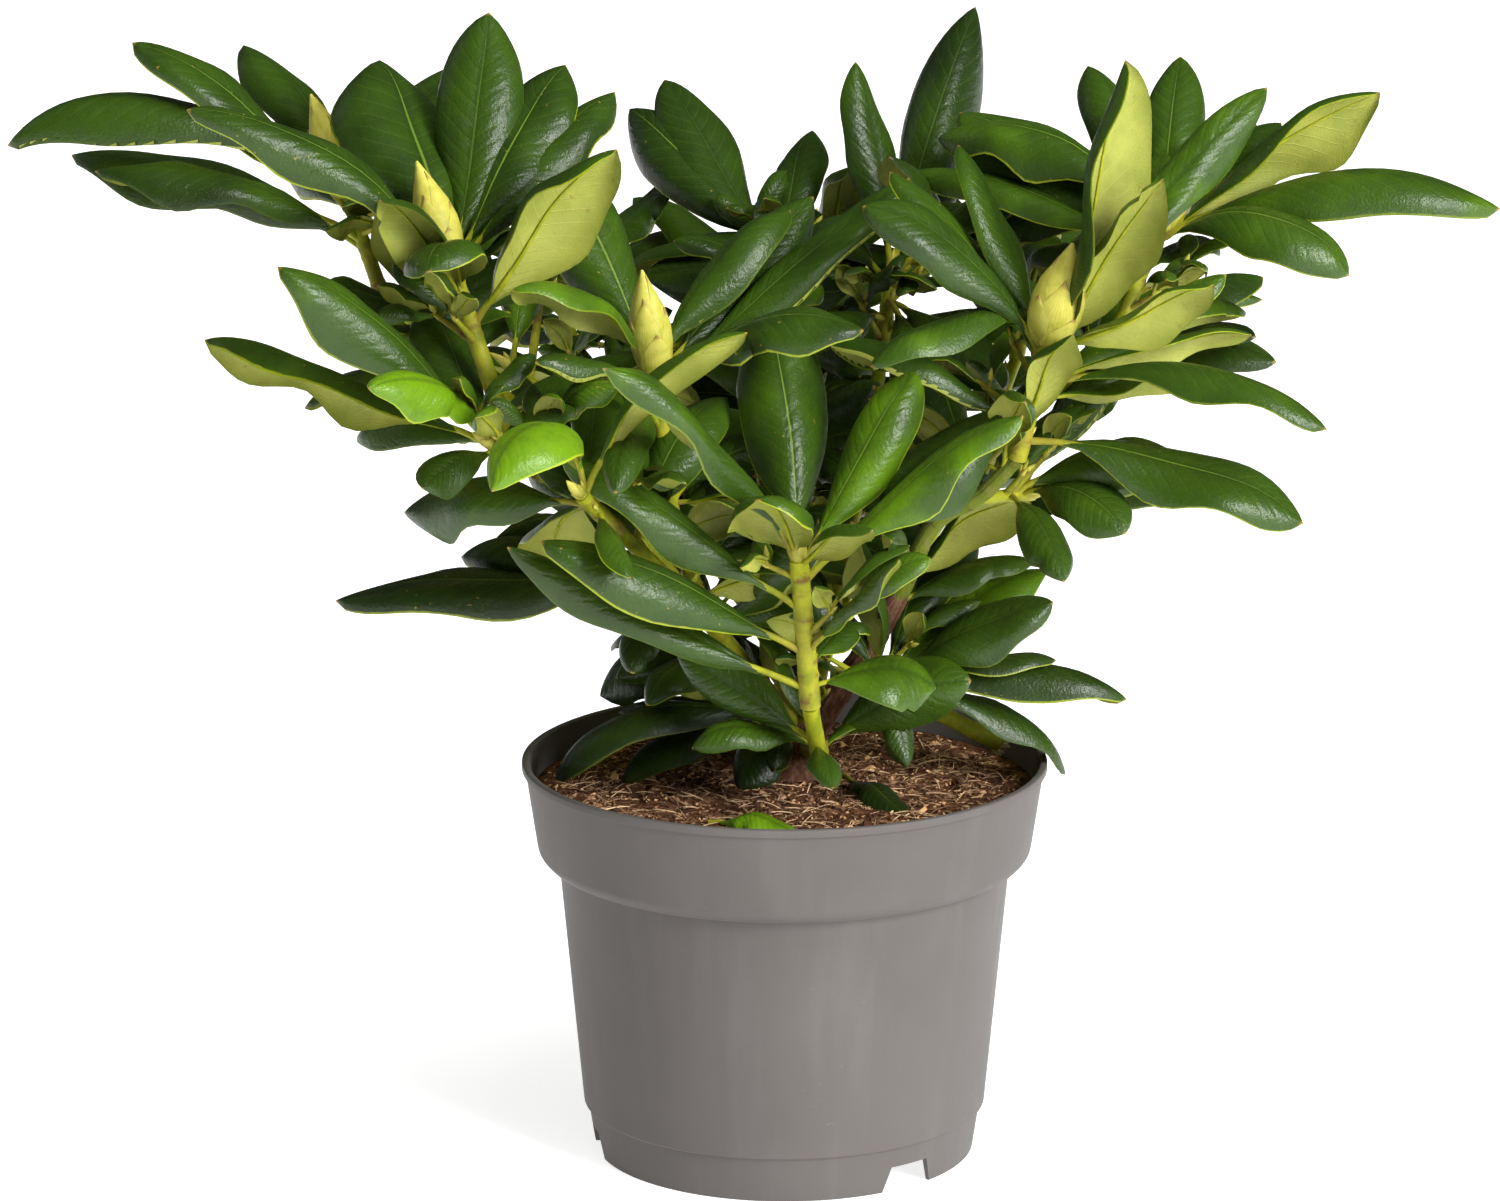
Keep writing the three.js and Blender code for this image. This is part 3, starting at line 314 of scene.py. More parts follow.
@dataclass(frozen=True)
class Blade:
    """One leaf with all its sizes settled."""

    root: Array
    azimuth: float
    rise: float
    reach: float
    bow: float
    roll: float
    width: float
    sway: float
    fold: float
    tone: float
    seed: int

    def midrib(self, share: Array) -> tuple[Array, Array, Array]:
        """Follows the midrib: an arc that bends over by the bow and sideways by the sway.

        Args:
            share: shares of the leaf's length.

        Returns:
            The points there, the ways to the left, and the ways out of the upper face.
        """
        bend = math.radians(self.bow)
        length = self.reach / np.sinc(bend / 2 / np.pi)
        run = length * share * np.sinc(bend * share / 2 / np.pi)
        way = heading(self.azimuth + self.sway * (share - 1) / 2, self.rise + self.bow / 2 * (1 - share))
        turn, tilt = self.azimuth + self.sway * (share - 0.5), self.rise + self.bow * (0.5 - share)
        level, upright = heading(turn + 90, 0 * turn), heading(turn, tilt + 90)
        twist = np.radians(self.roll) * np.minimum(share / STALK_SHARE, 1)
        cos, sin = np.cos(twist)[:, None], np.sin(twist)[:, None]
        return self.root + way * run[:, None], level * cos + upright * sin, upright * cos - level * sin

    def outline(self, share: Array) -> Array:
        """Gives half the leaf's width at shares of its length, as its solid has it."""
        body = np.maximum(share - STALK_SHARE, 0) / (1 - STALK_SHARE)
        swell = np.sin(np.pi * np.minimum(body, 1) ** WIDEST).clip(0) ** FULLNESS
        return np.maximum(self.width / 2 * swell, np.where(share < 1, STALK_HALF * (1 - share), 0))

    def landmarks(self) -> Array:
        """Gives the points of the solid leaf that show where it settled: its edges and its tip."""
        share = np.array([0.4, 0.7, 1.0])
        centre, left, up = self.midrib(share)
        half = self.outline(share)[:, None]
        fold = math.radians(self.fold)
        across, drop = left * half * math.cos(fold), up * half * math.sin(fold)
        return np.concatenate([centre + across - drop, centre[:-1] - across[:-1] - drop[:-1]])


def finished(root: Array, leaf: Leaf, draw: Draws, tone: float, seed: int) -> Blade:
    """Settles the sizes of a leaf that its draws give."""
    width = leaf.reach * WIDTH_SHARE * leaf.wide * draw.within(0.94, 1.06)
    sway, fold = draw.within(*SWAY), draw.within(*FOLD)
    shape = leaf.azimuth, leaf.rise, leaf.reach, leaf.bow, leaf.roll, width, sway, fold
    return Blade(root, *shape, tone, seed)


@dataclass(frozen=True)
class Filling:
    """How the rule shapes the leaves that it adds, from the lowest on the stem to the highest."""

    rise: Pair = (-14, 44)
    reach: Pair = (112, 86)
    rise_play: Pair = (-8, 8)
    reach_play: Pair = (-10, 10)
    bow: Pair = (18, 48)
    roll: Pair = (-12, 12)
    spacing: float = 4.5
    first_down: float = 2


@dataclass(frozen=True)
class Twigging:
    """How the rule shapes the twigs that it adds."""

    length: float = 36
    radii: Pair = (2.3, 1.8)
    rise: Pair = (30, 50)
    arc: float = 300
    leaves: int = 3
    leaf_spacing: float = 3
    spacing: float = 12
    first_down: float = 12
    share: float = 0.86


FILL = Filling()
TWIG = Twigging()
TONE_PLAY = 0.2
SPRIG_FRESHER = 0.1
OLD_LEAVES_APART = 14
OLD_LEAF_ROOM = 2.6
OLD_LEAF_TRIES = 12
SPRIG_TRIES = 3


@dataclass
class Growth:
    """Everything that one shoot carries, grown by the rule and settled where its solid shows it."""

    shoot: Shoot
    number: int
    blades: list[Blade] = field(default_factory=list)
    twigs: list[tuple[Array, Array]] = field(default_factory=list)
    sprigs: list[Array] = field(default_factory=list)

    def __post_init__(self) -> None:
        """Finds the stem: its foot, its top and the way along it."""
        foot = BOUGHS[self.shoot.on].points[-1] if self.shoot.on else self.shoot.foot
        self.foot, self.top = np.array(foot, float), np.array(self.shoot.top, float)
        self.length = float(np.linalg.norm(self.top - self.foot))
        self.along = (self.top - self.foot) / self.length

    def tone_of(self, leaf: Leaf, count: int) -> float:
        """Deals a leaf its tone: its own, or the shoot's with a little play."""
        if leaf.tone:
            return leaf.tone.value
        play = TONE_PLAY * noise.noise((count * 1.7, self.number * 2.3, 0.5))
        return float(np.clip(self.shoot.tone.value + play, 0, 1))

    def added(self, count: int, arc: Pair, top: Array, along: Array, spacing: float,
              share: float, draw: Draws, mark: int) -> list[Blade]:
        """Adds leaves round a stem, from the top one down.

        Args:
            count: how many.
            arc: the azimuths that they keep to.
            top: the stem's end.
            along: the way along the stem.
            spacing: from one leaf down to the next.
            share: their reach over a full leaf's.
            draw: the shoot's draws.
            mark: the number that their own seeds start from.

        Returns:
            The leaves, not yet settled.
        """
        start, end = arc
        blades = []
        for k in range(count):
            height = 1 - k / max(count - 1, 1)
            azimuth = start + (k * GOLDEN + 30 * draw()) % (end - start)
            rise = np.interp(height, (0, 1), FILL.rise) + draw.within(*FILL.rise_play)
            reach = np.interp(height, (0, 1), FILL.reach) + draw.within(*FILL.reach_play)
            leaf = Leaf(azimuth, rise, share * reach, draw.within(*FILL.bow), draw.within(*FILL.roll))
            root = top - along * (FILL.first_down + spacing * k)
            blades.append(finished(root, leaf, draw, self.tone_of(leaf, mark + k), mark + k))
        return blades

    def grow(self, solid: "NodeShape", reach: "NodeShape") -> None:
        """Grows the shoot's leaves, its twigs and its finer sprigs.

        Args:
            solid: the shape of this shoot's own solid.
            reach: the shape of all the solids together.
        """
        draw = Draws(self.number)
        mark = self.number * 100
        wanted = [
            finished(self.top - self.along * one.down, one, draw, self.tone_of(one, mark + k), mark + k)
            for k, one in enumerate(self.shoot.leaves)
        ]
        wanted += self.added(self.shoot.fill, self.shoot.arc, self.top, self.along, FILL.spacing, 1, draw,
                             mark + 40)
        for k, one in enumerate(wanted):
            found = solid.settled(one)
            if found:
                turn, lift, roll = LEANING.get((self.shoot.name, k), (0, 0, 0))
                self.blades.append(replace(found, azimuth=found.azimuth + turn, rise=found.rise + lift,
                                           roll=found.roll + roll))
        start, end = self.shoot.arc
        for k in range(self.shoot.twigs):
            azimuth = start + (k * GOLDEN + 90 * draw()) % (end - start)
            way = heading(azimuth, draw.within(*TWIG.rise))
            foot = self.top - self.along * (TWIG.first_down + TWIG.spacing * k)
            tip = foot + way * TWIG.length * draw.within(0.85, 1.15)
            arc = (azimuth - TWIG.arc / 2, azimuth + TWIG.arc / 2)
            carried = self.added(TWIG.leaves, arc, tip, way, TWIG.leaf_spacing, TWIG.share, draw,
                                 mark + 60 + 10 * k)
            found = [one for one in (solid.settled(one) for one in carried) if one]
            if found:
                self.blades += found
                self.twigs.append((foot, tip))
        self.grow_sprigs(reach)
        self.grow_old_leaves(reach)

    def grow_old_leaves(self, reach: "NodeShape", count: int = 7) -> None:
        """Keeps last year's leaves along the bough that bears the shoot, wherever they are clear.

        Args:
            reach: the shape of all the solids together.
            count: how many stay on.
        """
        if not self.shoot.on:
            return
        draw = Draws(8000 + self.number)
        path = smooth_path(BOUGHS[self.shoot.on].points, 2.0)
        kept: list[Array] = []
        for k in range(count * OLD_LEAF_TRIES):
            if len(kept) >= count:
                return
            root = path[int(draw.within(0.3, 0.98) * (len(path) - 1))]
            leaf = Leaf(draw.within(0, 360), draw.within(-10, 52), draw.within(44, 86), draw.within(10, 70),
                        draw.within(-80, 80), wide=draw.within(1, 1.25))
            seed = 6000 + self.number * 100 + k
            blade = finished(root, leaf, draw, self.tone_of(leaf, seed), seed)
            middle = blade.midrib(np.array([0.35, 0.6, 0.85]))[0]
            gaps = [np.abs(middle[:, None] - other[None]).sum(-1).min() for other in kept]
            if all(gap > OLD_LEAVES_APART for gap in gaps) and reach.clear(blade, OLD_LEAF_ROOM):
                self.blades.append(blade)
                kept.append(middle)

    def grow_sprigs(self, reach: "NodeShape", count: int = 3) -> None:
        """Grows the finest twigs, each with a few small leaves, wherever they are clear.

        Args:
            reach: the shape of all the solids together.
            count: how many are wanted.
        """
        draw = Draws(7000 + self.number)
        for k in range(count * SPRIG_TRIES):
            if len(self.sprigs) >= count:
                return
            down = 5 + (min(self.length, 44) - 10) * draw()
            azimuth, lift = draw.within(0, 360), draw.within(5, 55)
            foot = self.top - self.along * down
            way = heading(azimuth, lift)
            tip = foot + way * draw.within(12, 24)
            bend = np.array([0, 0, draw.within(2, 4)])
            path = np.array([foot, foot * 0.6 + tip * 0.4 + bend * 0.4, tip + bend])
            leaves = []
            for j in range(4):
                leaf = Leaf(azimuth + j * GOLDEN + draw.within(0, 30), lift + draw.within(12, -8),
                            draw.within(26, 46), draw.within(20, 60), draw.within(-70, 70), wide=1.15)
                seed = 5000 + self.number * 50 + k * 5 + j
                blade = finished(path[-1], leaf, draw, min(self.tone_of(leaf, seed) + SPRIG_FRESHER, 1), seed)
                if reach.clear(blade):
                    leaves.append(blade)
            if len(leaves) >= 2:
                self.blades += leaves
                self.sprigs.append(path)


def nudges() -> list[Pair]:
    """Lists the turns and lifts that are tried for a leaf, from its own place to ever further off."""
    tried = [(0.0, 0.0)]
    for away in (3, 6, 10, 15, 21):
        for k in range(8):
            tried.append((away * math.cos(k * math.pi / 4), away * math.sin(k * math.pi / 4)))
    return tried


class NodeShape:
    """The faces of some of the frame's solids, to find what lies on them."""

    def __init__(self, names: list[str]) -> None:
        """Gathers the faces of the named solids, in millimetres."""
        points, faces = [], []
        for name in names:
            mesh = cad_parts[name].data
            first = len(points)
            points += [vertex.co / METRES for vertex in mesh.vertices]
            faces += [[first + corner for corner in face.vertices] for face in mesh.polygons]
        self.tree = BVHTree.FromPolygons(points, faces)

    def settled(self, wanted: Blade, within: float = 0.2) -> Blade | None:
        """Finds the place that a leaf took on the solid, or None where the solid leaves it out."""
        for turn, lift in nudges():
            tried = replace(wanted, azimuth=wanted.azimuth + turn, rise=wanted.rise + lift)
            near = [self.tree.find_nearest(Vector(point), within)[0] for point in tried.landmarks()]
            if sum(found is not None for found in near) >= 3:
                return tried
        return None

    def clear(self, blade: Blade, room: float = 2.0) -> bool:
        """Tells whether a small leaf keeps clear of the solids all over its blade."""
        share = np.array([0.35, 0.5, 0.65, 0.8, 0.92, 1.0])
        centre, left, _ = blade.midrib(share)
        half = blade.outline(share)[:, None]
        points = np.concatenate([centre, centre + left * half, centre - left * half])
        return all(self.tree.find_nearest(Vector(point), room)[0] is None for point in points)


# --- meshes and trees


def mesh_of(name: str, points: object, edges: list, faces: list) -> bpy.types.Mesh:
    """Makes a mesh of points in millimetres and of the edges or faces between them."""
    mesh = bpy.data.meshes.new(name)
    mesh.from_pydata((np.array(points) * METRES).tolist(), edges, faces)
    return mesh


def store(mesh: bpy.types.Mesh, name: str, values: Array) -> None:
    """Stores one number for each point of a mesh."""
    attribute = mesh.attributes.new(name, "FLOAT", "POINT")
    attribute.data.foreach_set("value", values.astype(np.float32))


def shown(name: str, mesh: bpy.types.Mesh) -> Thing:
    """Puts a mesh into the scene as an object at the origin."""
    piece = bpy.data.objects.new(name, mesh)
    bpy.context.scene.collection.objects.link(piece)
    return piece


def stacked_rings(rings: int, sides: int) -> tuple[Array, Array]:
    """Numbers the points of closed rings that are stacked up, and lists the quads between them."""
    grid = np.arange(rings * sides).reshape(rings, sides)
    after = np.roll(grid, -1, axis=1)
    return grid, np.stack([grid[:-1], after[:-1], after[1:], grid[1:]], -1).reshape(-1, 4)


def thin_skin(rows: int, columns: int, turned: bool = False) -> tuple[Array, Array, Array]:
    """Lists the quads of a skin with a face and a back.

    Args:
        rows: how many rows of points each of the two has.
        columns: how many points a row has.
        turned: whether the rows run the other way round, so that the quads are turned over.

    Returns:
        The quads of the face, of the back, and of the rim between them.
    """
    grid = np.arange(rows * columns).reshape(rows, columns)
    corners = grid[:-1, :-1], grid[1:, :-1], grid[1:, 1:], grid[:-1, 1:]
    a, b, c, d = (corner.ravel() for corner in corners)
    ring = np.concatenate([grid[:, -1], grid[-1, ::-1][1:], grid[::-1, 0][1:], grid[0, :][1:-1]])
    after, behind = np.roll(ring, -1), rows * columns
    face, back = np.stack([a, b, c, d], -1), np.stack([a, d, c, b], -1)
    rim = np.stack([ring, after, after + behind, ring + behind], -1)
    if turned:
        face, back, rim = back, face, rim[:, [1, 0, 3, 2]]
    return face, back + behind, rim


class Gathering:
    """Gathers the points of many small pieces, what links them and what they carry."""

    def __init__(self) -> None:
        """Starts with no piece."""
        self.points: list[Array] = []
        self.links: list[Array] = []
        self.values: dict[str, list[Array]] = {}
        self.count = 0

    def gather(self, points: Array, links: Array, values: dict[str, float | Array]) -> None:
        """Adds a piece: its points, the point numbers that its faces or edges join, and its values."""
        self.points.append(points)
        self.links.append(links + self.count)
        for name, value in values.items():
            self.values.setdefault(name, []).append(np.broadcast_to(value, (len(points),)))
        self.count += len(points)

    def store_values(self, mesh: bpy.types.Mesh) -> None:
        """Stores what the points carry on the mesh that they made."""
        for label, rows in self.values.items():
            store(mesh, label, np.concatenate(rows))


class Patchwork(Gathering):
    """Gathers many small pieces of skin into one mesh, with their finishes."""

    def __init__(self) -> None:
        """Starts with no piece."""
        super().__init__()
        self.slots: list[Array] = []
        self.flat: list[Array] = []

    def add(self, points: Array, quads: Array, slots: Array, flat: Array, **values: float | Array) -> None:
        """Adds skin: its points, quads, finish numbers, places on the flattened skin and values."""
        self.gather(points, quads, values)
        self.slots.append(slots)
        self.flat.append(flat)

    def piece(self, name: str, materials: list[bpy.types.Material]) -> Thing:
        """Makes one object of all that was gathered, with its finishes in the order of their numbers."""
        quads = np.concatenate(self.links)
        mesh = mesh_of(name, np.concatenate(self.points), [], quads.tolist())
        for material in materials:
            mesh.materials.append(material)
        mesh.polygons.foreach_set("material_index", np.concatenate(self.slots).astype(np.int32))
        layer = mesh.uv_layers.new(name="flat")
        layer.data.foreach_set("uv", np.concatenate(self.flat)[quads.ravel()].astype(np.float32).ravel())
        self.store_values(mesh)
        mesh.shade_smooth()
        mesh.set_sharp_from_angle(angle=math.radians(SKIN_CREASE))
        mesh.update()
        return shown(name, mesh)


class Strands(Gathering):
    """Gathers the centre lines of many limbs into one mesh of edges."""

    def add(self, points: Array, **values: float | Array) -> None:
        """Adds a line with the values that each of its points carries, its girth among them."""
        first = np.arange(len(points) - 1)
        self.gather(points, np.stack([first, first + 1], -1), values)

    def lines(self, name: str) -> Thing:
        """Makes the bare lines an object for a tree to work on."""
        mesh = mesh_of(name, np.concatenate(self.points), np.concatenate(self.links).tolist(), [])
        self.store_values(mesh)
        return shown(name, mesh)


def length_along(path: Array) -> Array:
    """Gives each point's distance from the first along a path."""
    return np.concatenate([[0], np.cumsum(np.linalg.norm(np.diff(path, axis=0), axis=1))])


def smooth_path(points: list[Triple] | Array, spacing: float) -> Array:
    """Runs an evenly spaced curve through points.

    Args:
        points: what it runs through.
        spacing: about how far its own points are apart.

    Returns:
        The curve's points.
    """
    knots = np.array(points, float)
    held = np.vstack([2 * knots[0] - knots[1], knots, 2 * knots[-1] - knots[-2]])
    rows = []
    for k in range(len(knots) - 1):
        before, here, there, after = held[k:k + 4]
        leave, arrive = (there - before) / 2, (after - here) / 2
        t = np.linspace(0, 1, 24, endpoint=False)[:, None]
        rows.append((2 * here - 2 * there + leave + arrive) * t ** 3
                    + (3 * there - 3 * here - 2 * leave - arrive) * t ** 2 + leave * t + here)
    dense = np.vstack(rows + [knots[-1:]])
    run = length_along(dense)
    even = np.linspace(0, run[-1], max(int(run[-1] / spacing), 3) + 1)
    return np.stack([np.interp(even, run, dense[:, axis]) for axis in range(3)], -1)


class Value:
    """What comes out of a node. It is worked with like a plain number, and that adds the nodes."""

    def __init__(self, wiring: "Wiring", socket: bpy.types.NodeSocket) -> None:
        """Keeps the socket and the wiring that it is part of."""
        self.wiring, self.socket = wiring, socket

    def __add__(self, other: object) -> "Value":
        """Adds a number."""
        return self.wiring.math("ADD", self, other)

    def __sub__(self, other: object) -> "Value":
        """Takes a number off."""
        return self.wiring.math("SUBTRACT", self, other)

    def __rsub__(self, other: float) -> "Value":
        """Takes this off a plain number."""
        return self.wiring.math("SUBTRACT", other, self)

    def __mul__(self, other: object) -> "Value":
        """Multiplies by a number."""
        return self.wiring.math("MULTIPLY", self, other)

    def __truediv__(self, other: object) -> "Value":
        """Divides by a number."""
        return self.wiring.math("DIVIDE", self, other)

    def __pow__(self, other: float) -> "Value":
        """Raises this to a power."""
        return self.wiring.math("POWER", self, other)

    def __abs__(self) -> "Value":
        """Drops the sign."""
        return self.wiring.math("ABSOLUTE", self)


class Wiring:
    """Adds nodes to a tree and wires each one as it is made."""

    def __init__(self, tree: bpy.types.NodeTree) -> None:
        """Keeps the tree that the nodes go into."""
        self.tree = tree

    def add(self, kind: str, wires: Wires | None = None, **settings: object) -> bpy.types.Node:
        """Adds a node.

        Args:
            kind: its type.
            wires: what goes into its sockets, by name or number: another node's value, or a plain one.
            settings: its other settings.

        Returns:
            The node.
        """
        node = self.tree.nodes.new(kind)
        for name, value in settings.items():
            setattr(node, name, value)
        for key, value in (wires or {}).items():
            if isinstance(value, Value):
                self.tree.links.new(value.socket, node.inputs[key])
            else:
                node.inputs[key].default_value = value
        return node

    def node(self, kind: str, wires: Wires | None = None, pick: int | str = 0,
             **settings: object) -> Value:
        """Adds a node as `add` does, and gives the one of its outputs that is picked."""
        return Value(self, self.add(kind, wires, **settings).outputs[pick])

    def math(self, operation: str, first: object, second: object = 0.0) -> Value:
        """Works out one number from two."""
        return self.node("ShaderNodeMath", {0: first, 1: second}, operation=operation)

    def between(self, value: Value, low: object, high: object, start: float = 0.0, end: float = 1.0) -> Value:
        """Eases from start to end as a value goes from low to high."""
        wires = {0: value, 1: low, 2: high, 3: start, 4: end}
        return self.node("ShaderNodeMapRange", wires, interpolation_type="SMOOTHSTEP")

    def blend(self, share: Value, first: object, second: object) -> Value:
        """Blends two colours, plain ones or ones from a node."""
        first, second = ((*one, 1.0) if isinstance(one, tuple) else one for one in (first, second))
        return self.node("ShaderNodeMix", {0: share, 6: first, 7: second}, 2, data_type="RGBA")

    def value_of(self, name: str) -> Value:
        """Reads a value that a material's piece carries."""
        return self.node("ShaderNodeAttribute", pick=2, attribute_name=name)

    def place(self) -> Value:
        """Reads where a point of the material's object is."""
        return self.node("ShaderNodeTexCoord", pick=3)

    def flat(self) -> tuple[Value, Value]:
        """Reads the place on the flattened skin: the shares of its width and of its length."""
        axes = self.add("ShaderNodeSeparateXYZ", {0: self.node("ShaderNodeUVMap", uv_map="flat")}).outputs
        return Value(self, axes[0]), Value(self, axes[1])

    def grain(self, scale: float | Value, detail: float = 3.0, vector: Value | None = None,
              rough: float = 0.55) -> Value:
        """Gives a noise over the object, or over another run of coordinates."""
        wires = {"Vector": vector or self.place(), "Scale": scale, "Detail": detail, "Roughness": rough}
        return self.node("ShaderNodeTexNoise", wires)


class Tree(Wiring):
    """A geometry tree with named inputs."""

    def __init__(self, name: str, inputs: dict[str, str]) -> None:
        """Starts the tree, with an input for the geometry and one of each named type."""
        super().__init__(bpy.data.node_groups.new(name, "GeometryNodeTree"))
        face = self.tree.interface
        for label, kind in {"Geometry": "Geometry", **inputs}.items():
            face.new_socket(label, in_out="INPUT", socket_type="NodeSocket" + kind)
        face.new_socket("Geometry", in_out="OUTPUT", socket_type="NodeSocketGeometry")
        self.source = {socket.name: Value(self, socket) for socket in self.add("NodeGroupInput").outputs}

    def named(self, name: str) -> Value:
        """Reads a number that the geometry carries."""
        return self.node("GeometryNodeInputNamedAttribute", {0: name}, data_type="FLOAT")

    def chance(self, low: object, high: object, seed: Value) -> Value:
        """Gives a seeded draw between two numbers."""
        return self.node("FunctionNodeRandomValue", {2: low, 3: high, 8: seed}, 1, data_type="FLOAT")

    def finish(self, geometry: Value) -> None:
        """Ends the tree: smooth faces, instances made real, and the material set."""
        smooth = self.node("GeometryNodeSetShadeSmooth", {0: geometry})
        real = self.node("GeometryNodeRealizeInstances", {0: smooth})
        dressed = self.node("GeometryNodeSetMaterial", {0: real, 2: self.source["Material"]})
        self.add("NodeGroupOutput", {0: dressed})

    def run(self, name: str, base: Thing, values: dict[str, object]) -> Thing:
        """Runs the tree on an object and keeps the result as a plain mesh.

        Args:
            name: the finished piece's name.
            base: the object that the tree works on, which goes.
            values: what the named inputs are set to.

        Returns:
            The finished piece.
        """
        modifier = base.modifiers.new(name, "NODES")
        modifier.node_group = self.tree
        for item in self.tree.interface.items_tree:
            if item.in_out == "INPUT" and item.name in values:
                modifier[item.identifier] = values[item.name]
        depsgraph = bpy.context.evaluated_depsgraph_get()
        mesh = bpy.data.meshes.new_from_object(
            base.evaluated_get(depsgraph), preserve_all_data_layers=True, depsgraph=depsgraph)
        base.modifiers.remove(modifier)
        bpy.data.objects.remove(base)
        mesh.name = name
        return shown(name, mesh)


class TubeTree(Tree):
    """Sweeps a round section along lines, as wide as their girth, with a relief along their rind."""

    def __init__(self) -> None:
        """Wires the tree."""
        super().__init__("Tubes", {
            "Sides": "Int", "Relief": "Float", "Grain": "Float", "Material": "Material"})
        curve = self.node("GeometryNodeMeshToCurve", {0: self.source["Geometry"]})
        ring = self.node("GeometryNodeCurvePrimitiveCircle", {0: self.source["Sides"], 4: METRES})
        turn = self.node("GeometryNodeSplineParameter")
        ring = self.node("GeometryNodeStoreNamedAttribute", {0: ring, 2: "around", 3: turn})
        tube = self.node("GeometryNodeCurveToMesh", {0: curve, 1: ring, 2: self.named("girth"), 3: True})
        place = self.node("GeometryNodeInputPosition")
        lumps = self.grain(self.source["Grain"], 4.0, place, 0.6)
        depth = (lumps - 0.5) * self.source["Relief"] * self.named("coarse")
        normal = self.node("GeometryNodeInputNormal")
        push = self.node("ShaderNodeVectorMath", {0: normal, 3: depth}, operation="SCALE")
        self.finish(self.node("GeometryNodeSetPosition", {0: tube, 3: push}))

    def sweep(self, name: str, lines: Strands, sides: int, relief: float, grain: float,
              material: bpy.types.Material) -> Thing:
        """Makes one piece of gathered lines, its relief in metres and its grain in lumps to the metre."""
        values = {"Sides": sides, "Relief": relief, "Grain": grain, "Material": material}
        return self.run(name, lines.lines(name + "_lines"), values)


# --- finishes


@dataclass(frozen=True)
class Finish:
    """A finish with its name, what is the same all over it, and its relief's depth in millimetres."""

    name: str
    roughness: float = 0.5
    specular: float = 0.5
    relief: float = 0.0
    glow: float = 0.0

    def pattern(self, ink: Wiring) -> dict[str, Value]:
        """Wires the pattern: what goes into the shader's sockets, and the relief as its Height."""
        raise NotImplementedError

    def material(self) -> bpy.types.Material:
        """Builds the finish."""
        material = bpy.data.materials.new(self.name)
        material.use_nodes = True
        material.node_tree.nodes.clear()
        ink = Wiring(material.node_tree)
        sockets = {"Roughness": self.roughness, "Specular IOR Level": self.specular,
                   "Emission Strength": self.glow, **self.pattern(ink)}
        if "Height" in sockets:
            sockets["Normal"] = ink.node("ShaderNodeBump", {
                "Strength": 1.0, "Distance": self.relief * METRES, "Height": sockets.pop("Height")})
        ink.add("ShaderNodeOutputMaterial", {0: ink.node("ShaderNodeBsdfPrincipled", sockets)})
        return material


def vein_lean(across: Value) -> Value:
    """Gives how far a leaf's veins lean to its tip on their way out."""
    return across ** 1.3 * 0.17


@dataclass(frozen=True)
class LeafFace(Finish):
    """The upper face of a leaf: glossy, with a pale midrib, sunk veins and a thin bright edge."""

    relief: float = 0.24
    old: Colour = (0.0107, 0.0246, 0.00328)
    green: Colour = (0.0285, 0.063, 0.0040)
    bright: Colour = (0.112, 0.228, 0.0045)
    rib: Colour = (0.13, 0.215, 0.022)
    edge: Colour = (0.42, 0.50, 0.02)
    point: Colour = (0.30, 0.20, 0.04)
    vein_count: float = 15.0

    def pattern(self, ink: Wiring) -> dict[str, Value]:
        """Wires the green by the leaf's tone, its veins, its midrib with painted shade in the groove beside
        it, edge, brown point and specks.
        """
        width, along = ink.flat()
        side = width * 2.0 - 1.0
        across = abs(side)
        tone, chance = ink.value_of("tone"), ink.value_of("chance")
        wander = (ink.grain(90.0) - 0.5) * 0.03
        phase = (along + wander - vein_lean(across)) * self.vein_count + chance
        wave = ink.math("PINGPONG", phase + ink.math("SIGN", side) * 0.17, 0.5)
        fading = ink.between(across, 0.55, 0.95, 1.0, 0.0)
        vein = ink.between(wave, 0.0, 0.06, 1.0, 0.0) * fading
        mottle = ink.grain(160.0)
        fresh = tone + (ink.grain(28.0, 2.0) - 0.5) * 0.85
        lower = ink.blend(ink.between(fresh, 0.0, 0.5), self.old, self.green)
        colour = ink.blend(ink.between(fresh, 0.5, 1.05), lower, self.bright)
        colour = ink.blend(ink.between(mottle, 0.45, 0.8, 0.0, 0.3), colour, self.old)
        colour = ink.blend(vein * 0.13, colour, self.rib)
        # Painted shade: the green darkens towards the midrib, in the groove that it lies in.
        colour = ink.blend(ink.between(across, 0.03, 0.13, 0.4, 0.0), colour, self.old)
        rib = 1.0 - across / ink.between(along, 0.12, 0.9, 0.048, 0.012)
        paler = ink.between(chance, 0.1, 0.9, 0.1, 0.95)
        colour = ink.blend(ink.between(rib, 0.0, 0.6) * paler, colour, self.rib)
        lined = ink.between(chance + tone * 0.6, 0.3, 1.3, 0.02, 0.6)
        edging = ink.between(across + (mottle - 0.5) * 0.03, 0.976, 0.995)
        colour = ink.blend(edging * lined, colour, self.edge)
        colour = ink.blend(ink.between(along, 0.985, 0.998, 0.0, 0.8), colour, self.point)
        specks = ink.between(ink.grain(420.0, 1.0), 0.74, 0.78) * ink.between(chance, 0.6, 0.9)
        colour = ink.blend(specks * 0.6, colour, self.point)
        gloss = ink.between(mottle, 0.2, 0.85, self.roughness - 0.07, self.roughness + 0.13)
        puckers = ink.between(wave, 0.0, 0.3, 0.0, 0.5) * fading
        height = puckers + ink.grain(800.0, 2.0) * 1.1 + ink.grain(210.0, 2.0) * 1.4
        return {"Base Color": colour, "Roughness": gloss, "Height": height}


